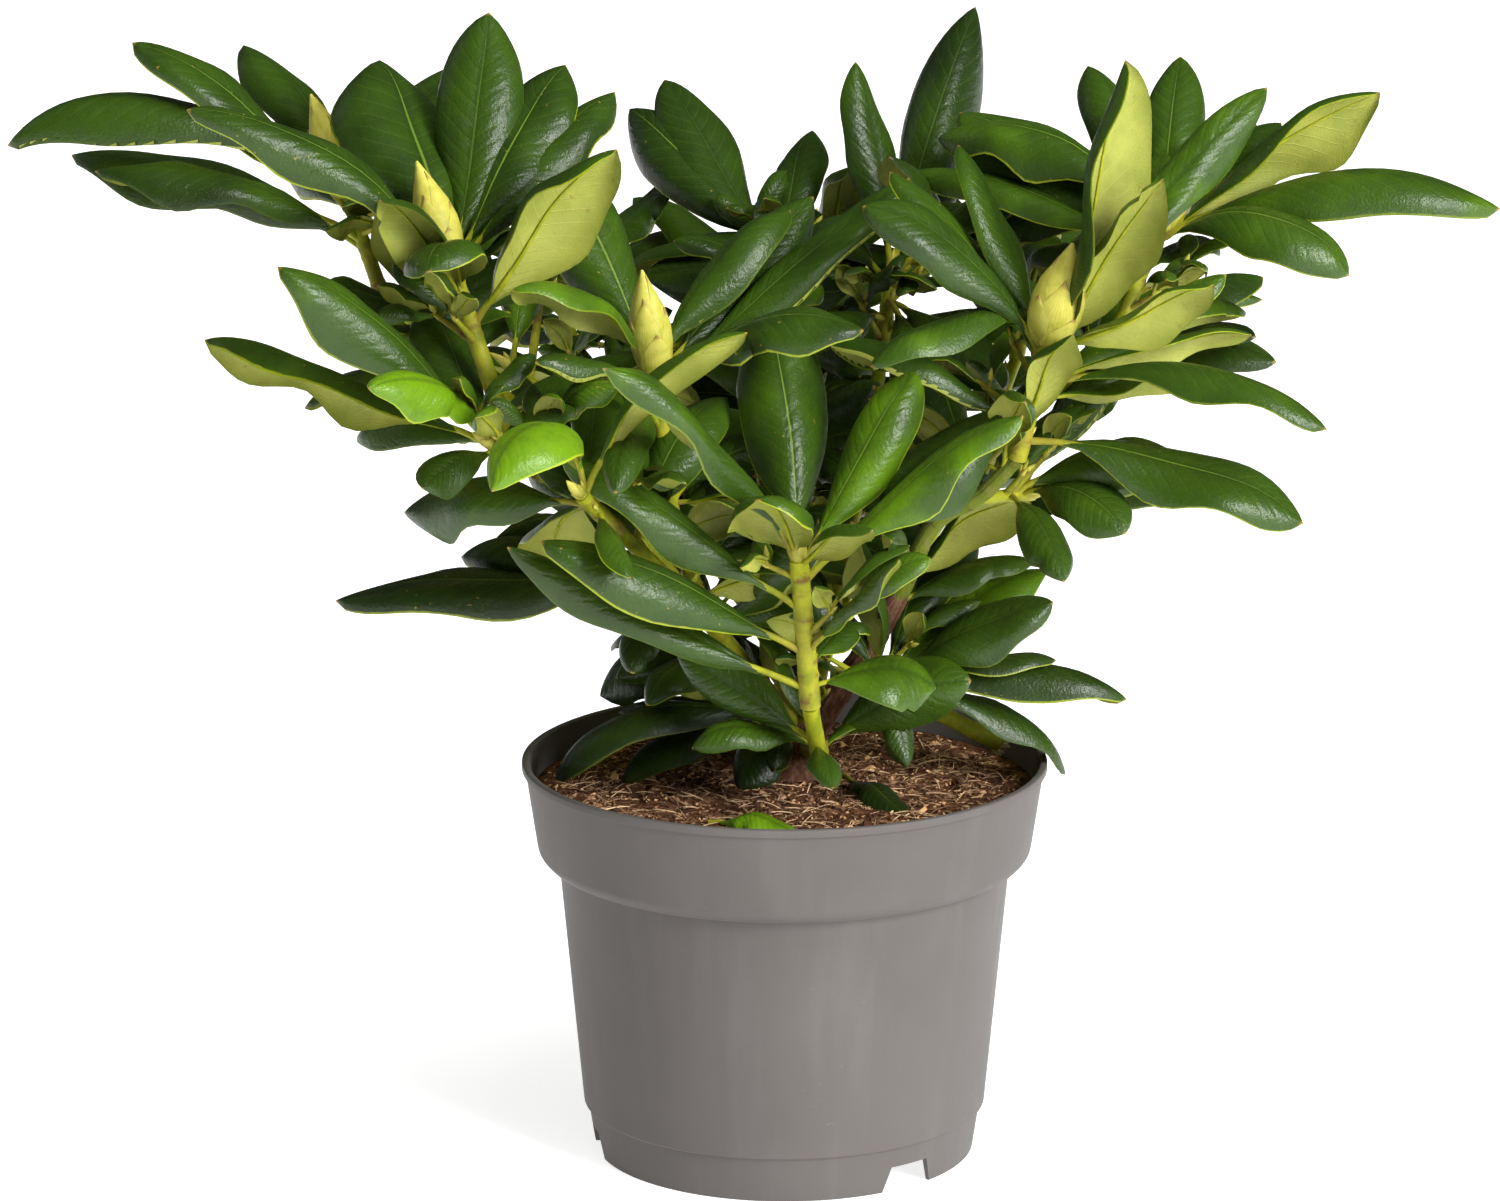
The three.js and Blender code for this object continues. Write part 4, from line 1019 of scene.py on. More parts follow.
@dataclass(frozen=True)
class LeafBack(Finish):
    """The pale matte under face of a leaf with its fine net of veins."""

    relief: float = 0.16
    pale: Colour = (0.345, 0.36, 0.062)
    green: Colour = (0.215, 0.25, 0.033)
    rib: Colour = (0.45, 0.432, 0.09)
    rust: Colour = (0.18, 0.099, 0.027)
    vein_count: float = 15.0

    def pattern(self, ink: Wiring) -> dict[str, Value]:
        """Wires the clouded pale green, its net and veins, and the rusty stains and point."""
        width, along = ink.flat()
        side = width * 2.0 - 1.0
        across, chance = abs(side), ink.value_of("chance")
        phase = (along - vein_lean(across)) * self.vein_count
        wave = ink.math("PINGPONG", phase + (chance + ink.math("SIGN", side) * 0.17), 0.5)
        vein = ink.between(wave, 0.0, 0.07, 1.0, 0.0) * ink.between(across, 0.6, 0.97, 1.0, 0.0)
        net = ink.node("ShaderNodeTexVoronoi", {"Vector": ink.place(), "Scale": 620.0},
                       feature="DISTANCE_TO_EDGE")
        meshes = ink.between(net, 0.02, 0.12, 1.0, 0.0)
        colour = ink.blend(ink.between(ink.grain(45.0), 0.3, 0.75), self.pale, self.green)
        colour = ink.blend(meshes * 0.22, colour, self.green)
        colour = ink.blend(vein * 0.4, colour, self.rib)
        colour = ink.blend(ink.between(across, 0.955, 0.99, 0.0, 0.5), colour, self.green)
        stain = ink.between(ink.grain(260.0, 2.0), 0.68, 0.76) * 0.5
        colour = ink.blend(stain * ink.between(chance, 0.4, 0.9), colour, self.rust)
        colour = ink.blend(ink.between(along, 0.975, 0.995, 0.0, 0.8), colour, self.rust)
        height = vein + meshes * 0.35 + ink.grain(1100.0, 2.0) * 0.3
        return {"Base Color": colour, "Height": height}


@dataclass(frozen=True)
class GreenRind(Finish):
    """The skin of leaf stalks and young stems: yellow-green, blushed, with rusty leaf scars."""

    relief: float = 0.25
    pale: Colour = (0.36, 0.37, 0.016)
    green: Colour = (0.185, 0.225, 0.008)
    blush: Colour = (0.20, 0.085, 0.045)
    scar: Colour = (0.13, 0.05, 0.022)

    def pattern(self, ink: Wiring) -> dict[str, Value]:
        """Wires the clouded green with its blush, its scars and its dots."""
        dots = ink.grain(900.0, 2.0)
        colour = ink.blend(ink.between(ink.grain(110.0), 0.3, 0.7), self.pale, self.green)
        red = ink.value_of("blush") * ink.between(ink.grain(60.0), 0.3, 0.65)
        colour = ink.blend(red * 0.85, colour, self.blush)
        ring = ink.value_of("scar") * ink.between(ink.grain(150.0), 0.48, 0.6)
        colour = ink.blend(ring * 0.8, colour, self.scar)
        colour = ink.blend(ink.between(dots, 0.6, 0.72, 0.0, 0.6), colour, self.green)
        return {"Base Color": colour, "Height": ink.grain(520.0) + dots * 0.4}


@dataclass(frozen=True)
class OldBark(Finish):
    """Flaky red-brown bark that gives way to green rind where the wood is young."""

    relief: float = 0.9
    red: Colour = (0.155, 0.052, 0.026)
    grey: Colour = (0.27, 0.155, 0.095)
    crack: Colour = (0.03, 0.013, 0.008)
    green: Colour = (0.14, 0.18, 0.012)

    def pattern(self, ink: Wiring) -> dict[str, Value]:
        """Wires the flakes and cracks, drawn out along the limb, and the green of its young end."""
        turn = ink.value_of("around") * math.tau
        rind = ink.node("ShaderNodeCombineXYZ", {
            0: ink.math("COSINE", turn), 1: ink.math("SINE", turn), 2: ink.value_of("run") * 0.05})
        flakes, strips = ink.grain(4.2, 5.0, rind, 0.65), ink.grain(9.0, 4.0, rind, 0.6)
        colour = ink.blend(ink.between(flakes, 0.38, 0.66), self.red, self.grey)
        colour = ink.blend(ink.between(strips, 0.30, 0.42, 0.9, 0.0), colour, self.crack)
        young = ink.between(ink.value_of("young") + (flakes - 0.5) * 0.35, 0.42, 0.62)
        fresh = ink.blend(ink.between(ink.grain(120.0), 0.5, 0.75, 0.0, 0.22), self.green, self.grey)
        colour = ink.blend(young, colour, fresh)
        ring = ink.value_of("scar") * ink.between(ink.grain(240.0), 0.35, 0.55)
        colour = ink.blend(ring * 0.8, colour, self.crack)
        return {"Base Color": colour, "Height": flakes + strips * 0.7}


@dataclass(frozen=True)
class PaleWood(Finish):
    """The torn end of a green shoot: pale wet wood with darker streaks."""

    relief: float = 0.3
    pale: Colour = (0.52, 0.50, 0.24)
    stain: Colour = (0.24, 0.20, 0.07)

    def pattern(self, ink: Wiring) -> dict[str, Value]:
        """Wires the streaks."""
        streaks = ink.grain(700.0, 4.0)
        colour = ink.blend(ink.between(streaks, 0.4, 0.7), self.pale, self.stain)
        return {"Base Color": colour, "Height": streaks}


@dataclass(frozen=True)
class BudScaleFinish(Finish):
    """Bud scales: pale yellow-green, greener at the foot, with brown points and thin brown rims."""

    relief: float = 0.12
    pale: Colour = (0.50, 0.46, 0.08)
    green: Colour = (0.31, 0.31, 0.028)
    brown: Colour = (0.25, 0.15, 0.045)

    def pattern(self, ink: Wiring) -> dict[str, Value]:
        """Wires the streaks and clouds of a scale, its point and its rim."""
        width, along = ink.flat()
        mottle = ink.grain(260.0)
        streaks = ink.math("PINGPONG", width * 13.0 + mottle, 0.5)
        colour = ink.blend(ink.between(along, 0.05, 0.5), self.green, self.pale)
        colour = ink.blend(ink.between(streaks, 0.1, 0.5, 0.0, 0.4), colour, self.green)
        colour = ink.blend(ink.between(mottle, 0.4, 0.7, 0.0, 0.5), colour, self.green)
        tipped = along + (mottle - 0.5) * 0.12
        colour = ink.blend(ink.between(tipped, 0.84, 0.96, 0.0, 0.9), colour, self.brown)
        colour = ink.blend(ink.between(abs(width * 2.0 - 1.0), 0.88, 1.0, 0.0, 0.4), colour, self.brown)
        return {"Base Color": colour, "Height": ink.grain(600.0)}


@dataclass(frozen=True)
class PeatFinish(Finish):
    """Damp bark soil."""

    relief: float = 1.6
    dark: Colour = (0.036, 0.014, 0.006)
    brown: Colour = (0.20, 0.085, 0.036)
    light: Colour = (0.46, 0.25, 0.12)

    def pattern(self, ink: Wiring) -> dict[str, Value]:
        """Wires the lumps and the paler crumbs."""
        lumps, crumbs = ink.grain(170.0, 5.0, rough=0.65), ink.grain(620.0, 4.0, rough=0.7)
        colour = ink.blend(ink.between(lumps, 0.35, 0.68), self.dark, self.brown)
        colour = ink.blend(ink.between(crumbs, 0.58, 0.78, 0.0, 0.7), colour, self.light)
        return {"Base Color": colour, "Height": lumps + crumbs * 0.6}


@dataclass(frozen=True)
class BarkScrap(Finish):
    """A scrap of bark, a crumb or a fibre, each with a shade of its own."""

    relief: float = 0.4
    dark: Colour = (0.066, 0.026, 0.011)
    light: Colour = (0.80, 0.46, 0.23)

    def pattern(self, ink: Wiring) -> dict[str, Value]:
        """Wires the scrap's shade and its fibres."""
        fibres = ink.grain(520.0, 4.0, rough=0.65)
        shade = ink.value_of("shade") ** 2.3 + (fibres - 0.5) * 0.6
        colour = ink.blend(ink.between(shade, 0.0, 1.0), self.dark, self.light)
        return {"Base Color": colour, "Height": fibres}


@dataclass(frozen=True)
class PotPlastic(Finish):
    """Matte grey moulded plastic with faint clouds, scuffs and a fine grain."""

    relief: float = 0.05
    grey: Colour = (0.106, 0.096, 0.091)
    light: Colour = (0.122, 0.111, 0.106)
    scuff: Colour = (0.21, 0.195, 0.19)

    def pattern(self, ink: Wiring) -> dict[str, Value]:
        """Wires the clouds, the streaks drawn out down the wall, and the rubbed patches."""
        drawn = ink.node("ShaderNodeMapping", {"Vector": ink.place(), "Scale": (1.0, 1.0, 0.12)})
        streaks = ink.grain(60.0, 3.0, drawn)
        colour = ink.blend(ink.between(ink.grain(9.0), 0.3, 0.7), self.grey, self.light)
        colour = ink.blend(ink.between(streaks, 0.45, 0.8, 0.0, 0.16), colour, self.scuff)
        rubbed = ink.between(ink.grain(150.0, 5.0, rough=0.7), 0.62, 0.72, 0.0, 0.3)
        colour = ink.blend(rubbed * ink.between(ink.grain(14.0, 2.0), 0.5, 0.66), colour, self.scuff)
        matte = ink.between(streaks, 0.2, 0.8, self.roughness - 0.06, self.roughness + 0.08)
        return {"Base Color": colour, "Roughness": matte, "Height": ink.grain(1500.0, 2.0)}


@dataclass(frozen=True)
class PaleFloor(Finish):
    """The pale seamless floor of a table that is lit from below."""

    pale: Colour = (0.72, 0.72, 0.72)
    shade: Colour = (0.69, 0.69, 0.69)
    glow: float = 0.8

    def pattern(self, ink: Wiring) -> dict[str, Value]:
        """Wires the faint clouds."""
        return {"Base Color": ink.blend(ink.between(ink.grain(0.6, 2.0), 0.3, 0.7), self.pale, self.shade)}


# --- leaves


@dataclass(frozen=True)
class Play:
    """How far a living leaf strays from its solid: the least and the most of each accident."""

    twist: Pair = (-38, 38)
    hook: Pair = (0.3, 6.5)
    ripple: Pair = (0, 1.8)
    sway: Pair = (-2.6, 2.6)
    ruffles: Pair = (1.0, 2.7)
    ruffle: Pair = (1.4, 5.0)
    bite_at: Pair = (0.45, 0.9)
    curl: Pair = (0.3, 1.5)
    roll: Pair = (0.5, 2.6)
    end: Pair = (1.7, 2.5)
    blunt: Pair = (0.66, 0.95)


PLAY = Play()


@dataclass
class Foliage:
    """The leaves of the plant: blades in one piece for each shoot, stalks and ribs in another."""

    columns: tuple[float, ...] = (
        -1, -0.95, -0.8, -0.58, -0.34, -0.15, -0.05, 0.05, 0.15, 0.34, 0.58, 0.8, 0.95, 1)
    stations: int = 19
    small_stations: int = 12
    small_reach: float = 60
    blade_start: float = 0.135
    end_start: float = 0.66
    half_thick: float = 0.3
    least_half: float = 0.12
    groove: float = 0.3
    groove_width: float = 0.09
    edge_roll: float = 0.9
    bitten_share: float = 0.14
    bite: float = 0.35
    rib_shares: tuple[float, ...] = (0, 0.03, 0.1, 0.17, 0.28, 0.5, 0.75, 0.965)
    rib_girths: tuple[float, ...] = (2.1, 1.75, 1.45, 1.4, 1.0, 0.66, 0.42, 0.18)

    def __post_init__(self) -> None:
        """Makes the finishes."""
        self.face = LeafFace("leaf_face", roughness=0.35, specular=0.34).material()
        self.back = LeafBack("leaf_back", roughness=0.6, specular=0.35).material()
        self.rind = GreenRind("stalk_rind", roughness=0.5, specular=0.16).material()
        self.ribs = Strands()

    def outline(self, blade: Blade, share: Array) -> Array:
        """Gives half the width, with an end that is blunt on some leaves and sharper on others."""
        chance = np.random.default_rng(blade.seed + 3)
        past = np.clip(share - self.end_start, 0, 1) / (1 - self.end_start)
        end = np.maximum(1 - past ** chance.uniform(*PLAY.end), 0) ** chance.uniform(*PLAY.blunt)
        last = blade.outline(np.array([self.end_start]))[0]
        return np.minimum(blade.outline(np.minimum(share, self.end_start)), last * end) + self.least_half

    def course(self, blade: Blade, share: Array) -> tuple[Array, Array, Array]:
        """Follows the midrib with the twist and the hooked end that the living leaf has.

        Args:
            blade: the leaf.
            share: shares of its length.

        Returns:
            The points there, the ways to the left, and the ways out of the upper face.
        """
        chance = np.random.default_rng(blade.seed + 5)
        centre, left, up = blade.midrib(share)
        size, swell = size_of(blade), np.sin(math.pi * share)
        curl = np.radians(chance.uniform(*PLAY.twist) * (share - 0.35))[:, None]
        left, up = left * np.cos(curl) + up * np.sin(curl), up * np.cos(curl) - left * np.sin(curl)
        hook = chance.uniform(*PLAY.hook) * size * np.clip((share - 0.76) / 0.24, 0, 1) ** 2
        ripple = chance.uniform(*PLAY.ripple) * np.sin(math.tau * (1.4 * share + chance.random())) * swell
        sway = chance.uniform(*PLAY.sway) * size * swell
        arched = 0.42 * math.sin(math.radians(blade.fold)) * blade.outline(share)
        return centre + up * (arched + ripple - hook)[:, None] + left * sway[:, None], left, up

    def ruffled(self, blade: Blade, share: Array, u: Array, chance: np.random.Generator) -> Array:
        """Gives the lift of the waves that run along both halves of a leaf and grow to its edges."""
        across = np.array(self.columns)
        lift = np.zeros((len(share), len(across)))
        for side in (-1, 1):
            turns, start = chance.uniform(*PLAY.ruffles), chance.uniform(0, 6.3)
            wave = chance.uniform(*PLAY.ruffle) * size_of(blade) * np.sin(math.tau * turns * share + start)
            wave *= np.sin(math.pi * u)
            lift += np.outer(wave, np.where(across * side > 0, np.abs(across) ** 1.6, 0))
        return lift

    def bitten(self, share: Array, chance: np.random.Generator) -> Array:
        """Gives the share of the width that is left, less than all where a few leaves are nibbled."""
        across = np.array(self.columns)
        kept = np.ones((len(share), len(across)))
        if chance.random() < self.bitten_share:
            side, spot = chance.choice([-1, 1]), chance.uniform(*PLAY.bite_at)
            bite = self.bite * np.exp(-((share - spot) / 0.03) ** 2)
            kept -= np.outer(bite, np.where(across * side > 0, 1.0, 0.0))
        return kept

    def skin(self, blade: Blade, patches: Patchwork, stations: int) -> None:
        """Adds a blade: its upper face, its under face and the thin edge that joins them.

        Args:
            blade: the leaf.
            patches: what it goes into.
            stations: how many rows of points run across it.
        """
        chance = np.random.default_rng(blade.seed)
        u = np.linspace(0, 1, stations)
        share = self.blade_start + (1 - self.blade_start) * u * (1.45 - 0.45 * u)
        centre, left, up = (rows[:, None] for rows in self.course(blade, share))
        half = self.outline(blade, share)[:, None]
        across, fold = np.array(self.columns), math.radians(blade.fold)
        edge = np.abs(across)
        wave, kept = self.ruffled(blade, share, u, chance), self.bitten(share, chance)
        curl = chance.uniform(*PLAY.curl) * np.clip((edge - 0.6) / 0.4, 0, 1) ** 2
        rolled = self.edge_roll * chance.uniform(*PLAY.roll) * size_of(blade)
        rolled = rolled * np.clip((edge - 0.8) / 0.2, 0, 1) ** 2 * np.minimum(half / 4, 1)
        out = half * across * kept * (1 - 0.13 * curl)
        drop = half * ((math.sin(fold) * 1.25 + 0.07) * edge ** 1.6 + 0.16 * curl) + rolled
        lift = wave - drop + 0.075 * half * np.sin(math.pi * edge ** 0.75)
        middle = centre + left * (out * math.cos(fold))[..., None] + up * lift[..., None]
        sunk = self.groove * np.exp(-(across / self.groove_width) ** 2) * np.clip(1.1 - share, 0, 1)[:, None]
        thick = np.broadcast_to(self.half_thick * (1 - 0.6 * edge ** 4), lift.shape)
        upper, under = middle + up * (thick - sunk)[..., None], middle - up * thick[..., None]
        flat = np.stack(np.broadcast_arrays((across[None] + 1) / 2, share[:, None]), -1)
        faces = thin_skin(*lift.shape)
        patches.add(np.stack([upper, under]).reshape(-1, 3), np.concatenate(faces),
                    np.repeat([0, 1, 0], [len(part) for part in faces]),
                    np.stack([flat, flat]).reshape(-1, 2), tone=blade.tone, chance=chance.random())

    def rib(self, blade: Blade, small: bool) -> None:
        """Adds the centre line of a leaf's stalk and of the rib that runs on under its blade."""
        chance = np.random.default_rng(blade.seed + 9)
        share = np.concatenate([np.linspace(0.0, 0.16, 6), np.linspace(0.2, 0.965, 8 if small else 12)])
        centre, _, up = self.course(blade, share)
        girth = np.interp(share, self.rib_shares, self.rib_girths) * min(1.0, (blade.reach / 90) ** 0.6)
        under = np.interp(share, [0, 0.12, 0.22, 1], [0, 0, 0.95, 0.95]) * girth
        blush = np.interp(share, [0, 0.12, 0.3], [1, 0.6, 0]) * (0.2 + 0.8 * chance.random())
        self.ribs.add(centre - up * under[:, None], girth=girth, coarse=0.3, blush=blush,
                      scar=0.0, run=share * blade.reach)

    def piece(self, name: str, solid: str, blades: list[Blade], lying: bool = False) -> Thing:
        """Makes one piece of some blades, and lays their ribs.

        Args:
            name: its name.
            solid: the node that it replaces.
            blades: its leaves.
            lying: whether they lie in the open, and are as finely made as a large leaf.

        Returns:
            The piece.
        """
        patches = Patchwork()
        for blade in blades:
            small = blade.reach < self.small_reach and not lying
            self.skin(blade, patches, self.small_stations if small else self.stations)
            self.rib(blade, small)
        piece = patches.piece(name, [self.face, self.back])
        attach(piece, "root")
        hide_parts(solid)
        return piece

    def dress(self, growths: list[Growth], tubes: TubeTree) -> list[Thing]:
        """Makes every leaf.

        Args:
            growths: the shoots, grown.
            tubes: the tree that sweeps the stalks.

        Returns:
            The pieces, the blades of each shoot first.
        """
        pieces = []
        for growth in growths:
            pieces.append(self.piece(growth.shoot.name + "_leaves", growth.shoot.name, growth.blades))
        for name, (root, leaf) in FALLEN.items():
            blade = finished(np.array(root, float), leaf, Draws(len(name)), leaf.tone.value, 9000 + len(name))
            pieces.append(self.piece(name + "_skin", name, [blade], lying=True))
        stalks = tubes.sweep("leaf_stalks", self.ribs, 8, 0.0002, 400.0, self.rind)
        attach(stalks, "root")
        return pieces + [stalks]


def size_of(blade: Blade) -> float:
    """Gives a leaf's size over that of a usual one."""
    return blade.reach / USUAL_REACH


# --- wood


@dataclass
class Woodwork:
    """The trunk, the boughs, the cut shoot and the young stems, as tubes along the rule's lines."""

    spacing: float = 1.6
    shrink: float = 0.95
    splinter_count: int = 26
    scar_every: float = 12.0
    scar_wide: float = 0.9
    first_scar: float = 6.0
    old: tuple[str, ...] = ("trunk", "bough_right")

    def __post_init__(self) -> None:
        """Makes the finishes."""
        self.bark = OldBark("old_bark", roughness=0.82, specular=0.25).material()
        self.rind = GreenRind("green_bark", roughness=0.5, specular=0.16).material()
        self.pale = PaleWood("torn_wood", roughness=0.7).material()

    def scars(self, run: Array, places: list[float]) -> Array:
        """Gives how near each point of a run is to a leaf scar, from 0 to 1."""
        near = np.zeros_like(run)
        for place in places:
            near = np.maximum(near, np.exp(-((run - place) / self.scar_wide) ** 2))
        return near

    def limb(self, strands: Strands, size: LimbSize, number: int, young: float, old_until: float = 0) -> None:
        """Adds a limb's line with its girth, its scars and how young its rind is.

        Args:
            strands: what it goes into.
            size: the limb's sizes.
            number: the limb's own number, for its accidents.
            young: 1 for green wood all along, 0 for old wood all along.
            old_until: the share of its length where bark gives way to green rind.
        """
        draw = Draws(300 + number)
        path = smooth_path(size.points, self.spacing)
        run = length_along(path)
        share = run / run[-1]
        girth = size.radii[0] + (size.radii[1] - size.radii[0]) * share + size.flare * np.exp(-share * 9)
        places = [self.first_scar]
        while places[-1] < run[-1]:
            places.append(places[-1] + self.scar_every * (0.35 + 1.3 * draw()))
        scar = self.scars(run, places[:-1])
        wobble = np.array([noise.noise((number * 3.1, spot * 0.09, 0.0)) for spot in run])
        green = np.full_like(share, young)
        if old_until:
            green = np.clip((share - old_until) / 0.12 + 0.5, 0, 1)
        girth = girth * self.shrink * (1 - 0.2 * green + 0.05 * wobble) + 0.2 * scar
        strands.add(path, girth=girth, coarse=1.15 - 0.95 * green, scar=scar * (0.35 + 0.25 * green),
                    blush=0.25 * (1 - share), run=run, young=green)

    def dress_limbs(self, tubes: TubeTree) -> list[Thing]:
        """Makes the trunk, the boughs and the cut shoot with its torn end."""
        barked, green = Strands(), Strands()
        self.limb(barked, TRUNK, 0, 0.0)
        for number, (name, size) in enumerate(BOUGHS.items(), 1):
            if name in self.old:
                self.limb(barked, size, number, 0.0, old_until=0.5)
            else:
                self.limb(green, size, number, 1.0)
        wood = tubes.sweep("old_wood", barked, 28, 0.0018, 260.0, self.bark)
        boughs = tubes.sweep("green_boughs", green, 20, 0.0006, 300.0, self.rind)
        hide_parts(*self.old)
        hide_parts(*[name for name in BOUGHS if name not in self.old])
        torn = tubes.sweep("torn_end", self.splinters(), 6, 0.0003, 500.0, self.pale)
        for piece in (wood, boughs, torn):
            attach(piece, "root")
        return [wood, boughs, torn]

    def splinters(self) -> Strands:
        """Lays the pale splinters that stand out of the cut shoot's end."""
        strands = Strands()
        draw = Draws(77)
        size = BOUGHS["cut_shoot"]
        path = smooth_path(size.points, self.spacing)
        end, before = path[-1], path[-3]
        way = (end - before) / np.linalg.norm(end - before)
        side = np.cross(way, (0, 0, 1))
        side /= np.linalg.norm(side)
        other = np.cross(side, way)
        for k in range(self.splinter_count):
            turn, out = 2.4 * k, math.sqrt((k + 0.5) / (self.splinter_count + 1))
            outward = side * math.cos(turn) + other * math.sin(turn)
            spot = end + outward * out * size.radii[1] * self.shrink * 0.92
            long = 0.8 + 3.6 * draw() ** 2
            lean = way + outward * 0.25 * (draw() - 0.3)
            line = np.array([spot - way * 2, spot, spot + lean * long * 0.6, spot + lean * long])
            strands.add(line, girth=np.array([1.1, 1.1, 0.7, 0.12]), coarse=1.0, scar=0.0, blush=0.0,
                        run=0.0, young=1.0)
        return strands

    def stem(self, strands: Strands, points: list[Array] | Array, spacing: float, radii: Pair,
             scars: list[float], proud: float, coarse: float = 0.4, blush: float | None = None) -> None:
        """Adds a young stem's line.

        Args:
            strands: what it goes into.
            points: what it runs through.
            spacing: about how far its own points are apart.
            radii: its radii at both ends.
            scars: how far up its leaf scars are.
            proud: how far they stand out.
            coarse: how strong its relief is.
            blush: how red it is, or None for red at the foot that fades to its top.
        """
        path = smooth_path(points, spacing)
        run = np.linalg.norm(path - path[0], axis=1)
        share = run / run[-1] if len(points) == 2 else np.linspace(0, 1, len(path))
        scar = self.scars(run, scars)
        girth = (radii[0] + (radii[1] - radii[0]) * share) * self.shrink + proud * scar
        strands.add(path, girth=girth, coarse=coarse, scar=scar, run=run, young=1.0,
                    blush=0.5 * (1 - share) if blush is None else blush)

    def dress_stems(self, growths: list[Growth], tubes: TubeTree) -> list[Thing]:
        """Makes the young stems, the twigs and the sprigs.

        Args:
            growths: the shoots, grown.
            tubes: the tree that sweeps them.

        Returns:
            One piece of all of them.
        """
        strands = Strands()
        for growth in growths:
            rooted = [growth.length - leaf.down - 2.5 for leaf in growth.shoot.leaves]
            scars = rooted + [4.0, 5.6, 7.2]
            self.stem(strands, [growth.foot, growth.top], 1.2, growth.shoot.radii, scars, 0.3)
            for twig in growth.twigs:
                self.stem(strands, twig, 1.5, TWIG.radii, [5.0, 11.0, 19.0, 27.0], 0.2, blush=0.3)
            for sprig in growth.sprigs:
                radii = (1.5 / self.shrink, 1.05 / self.shrink)
                self.stem(strands, sprig, 1.5, radii, [4.0, 9.0], 0.15, coarse=0.3, blush=0.5)
        stems = tubes.sweep("young_stems", strands, 14, 0.0007, 320.0, self.rind)
        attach(stems, "root")
        return [stems]


# --- buds


class PlantTree(Tree):
    """Sets copies of one piece on points, each turned its way and at its own size."""

    def __init__(self) -> None:
        """Wires the tree."""
        super().__init__("Buds on tips", {"Piece": "Object", "Material": "Material"})
        piece = self.node("GeometryNodeObjectInfo", {0: self.source["Piece"]}, "Geometry")
        spun = self.node("FunctionNodeAxisAngleToRotation", {0: (0, 0, 1), 1: self.named("spin")})
        way = self.node("ShaderNodeCombineXYZ", {
            0: self.named("way_x"), 1: self.named("way_y"), 2: self.named("way_z")})
        turned = self.node("FunctionNodeAlignRotationToVector", {0: spun, 2: way}, axis="Z")
        self.finish(self.node("GeometryNodeInstanceOnPoints", {
            0: self.source["Geometry"], 2: piece, 5: turned, 6: self.named("size")}))


@dataclass(frozen=True)
class BudMesh:
    """How finely a bud is made: its scales, their rows and columns, and its cone's rings and sides."""

    scales: int = 9
    rows: int = 12
    columns: tuple[float, ...] = (-1, -0.62, -0.22, 0.22, 0.62, 1)
    rings: int = 14
    sides: int = 12


# The tiny buds are a few millimetres tall and number some hundreds, so theirs is the lightest mesh.
BUD_MESHES = {
    Bud.FAT: BudMesh(scales=11),
    Bud.SLIM: BudMesh(scales=11),
    Bud.SMALL: BudMesh(),
    Bud.TINY: BudMesh(scales=5, rows=5, columns=(-1, -0.35, 0.35, 1), rings=6, sides=6),
}


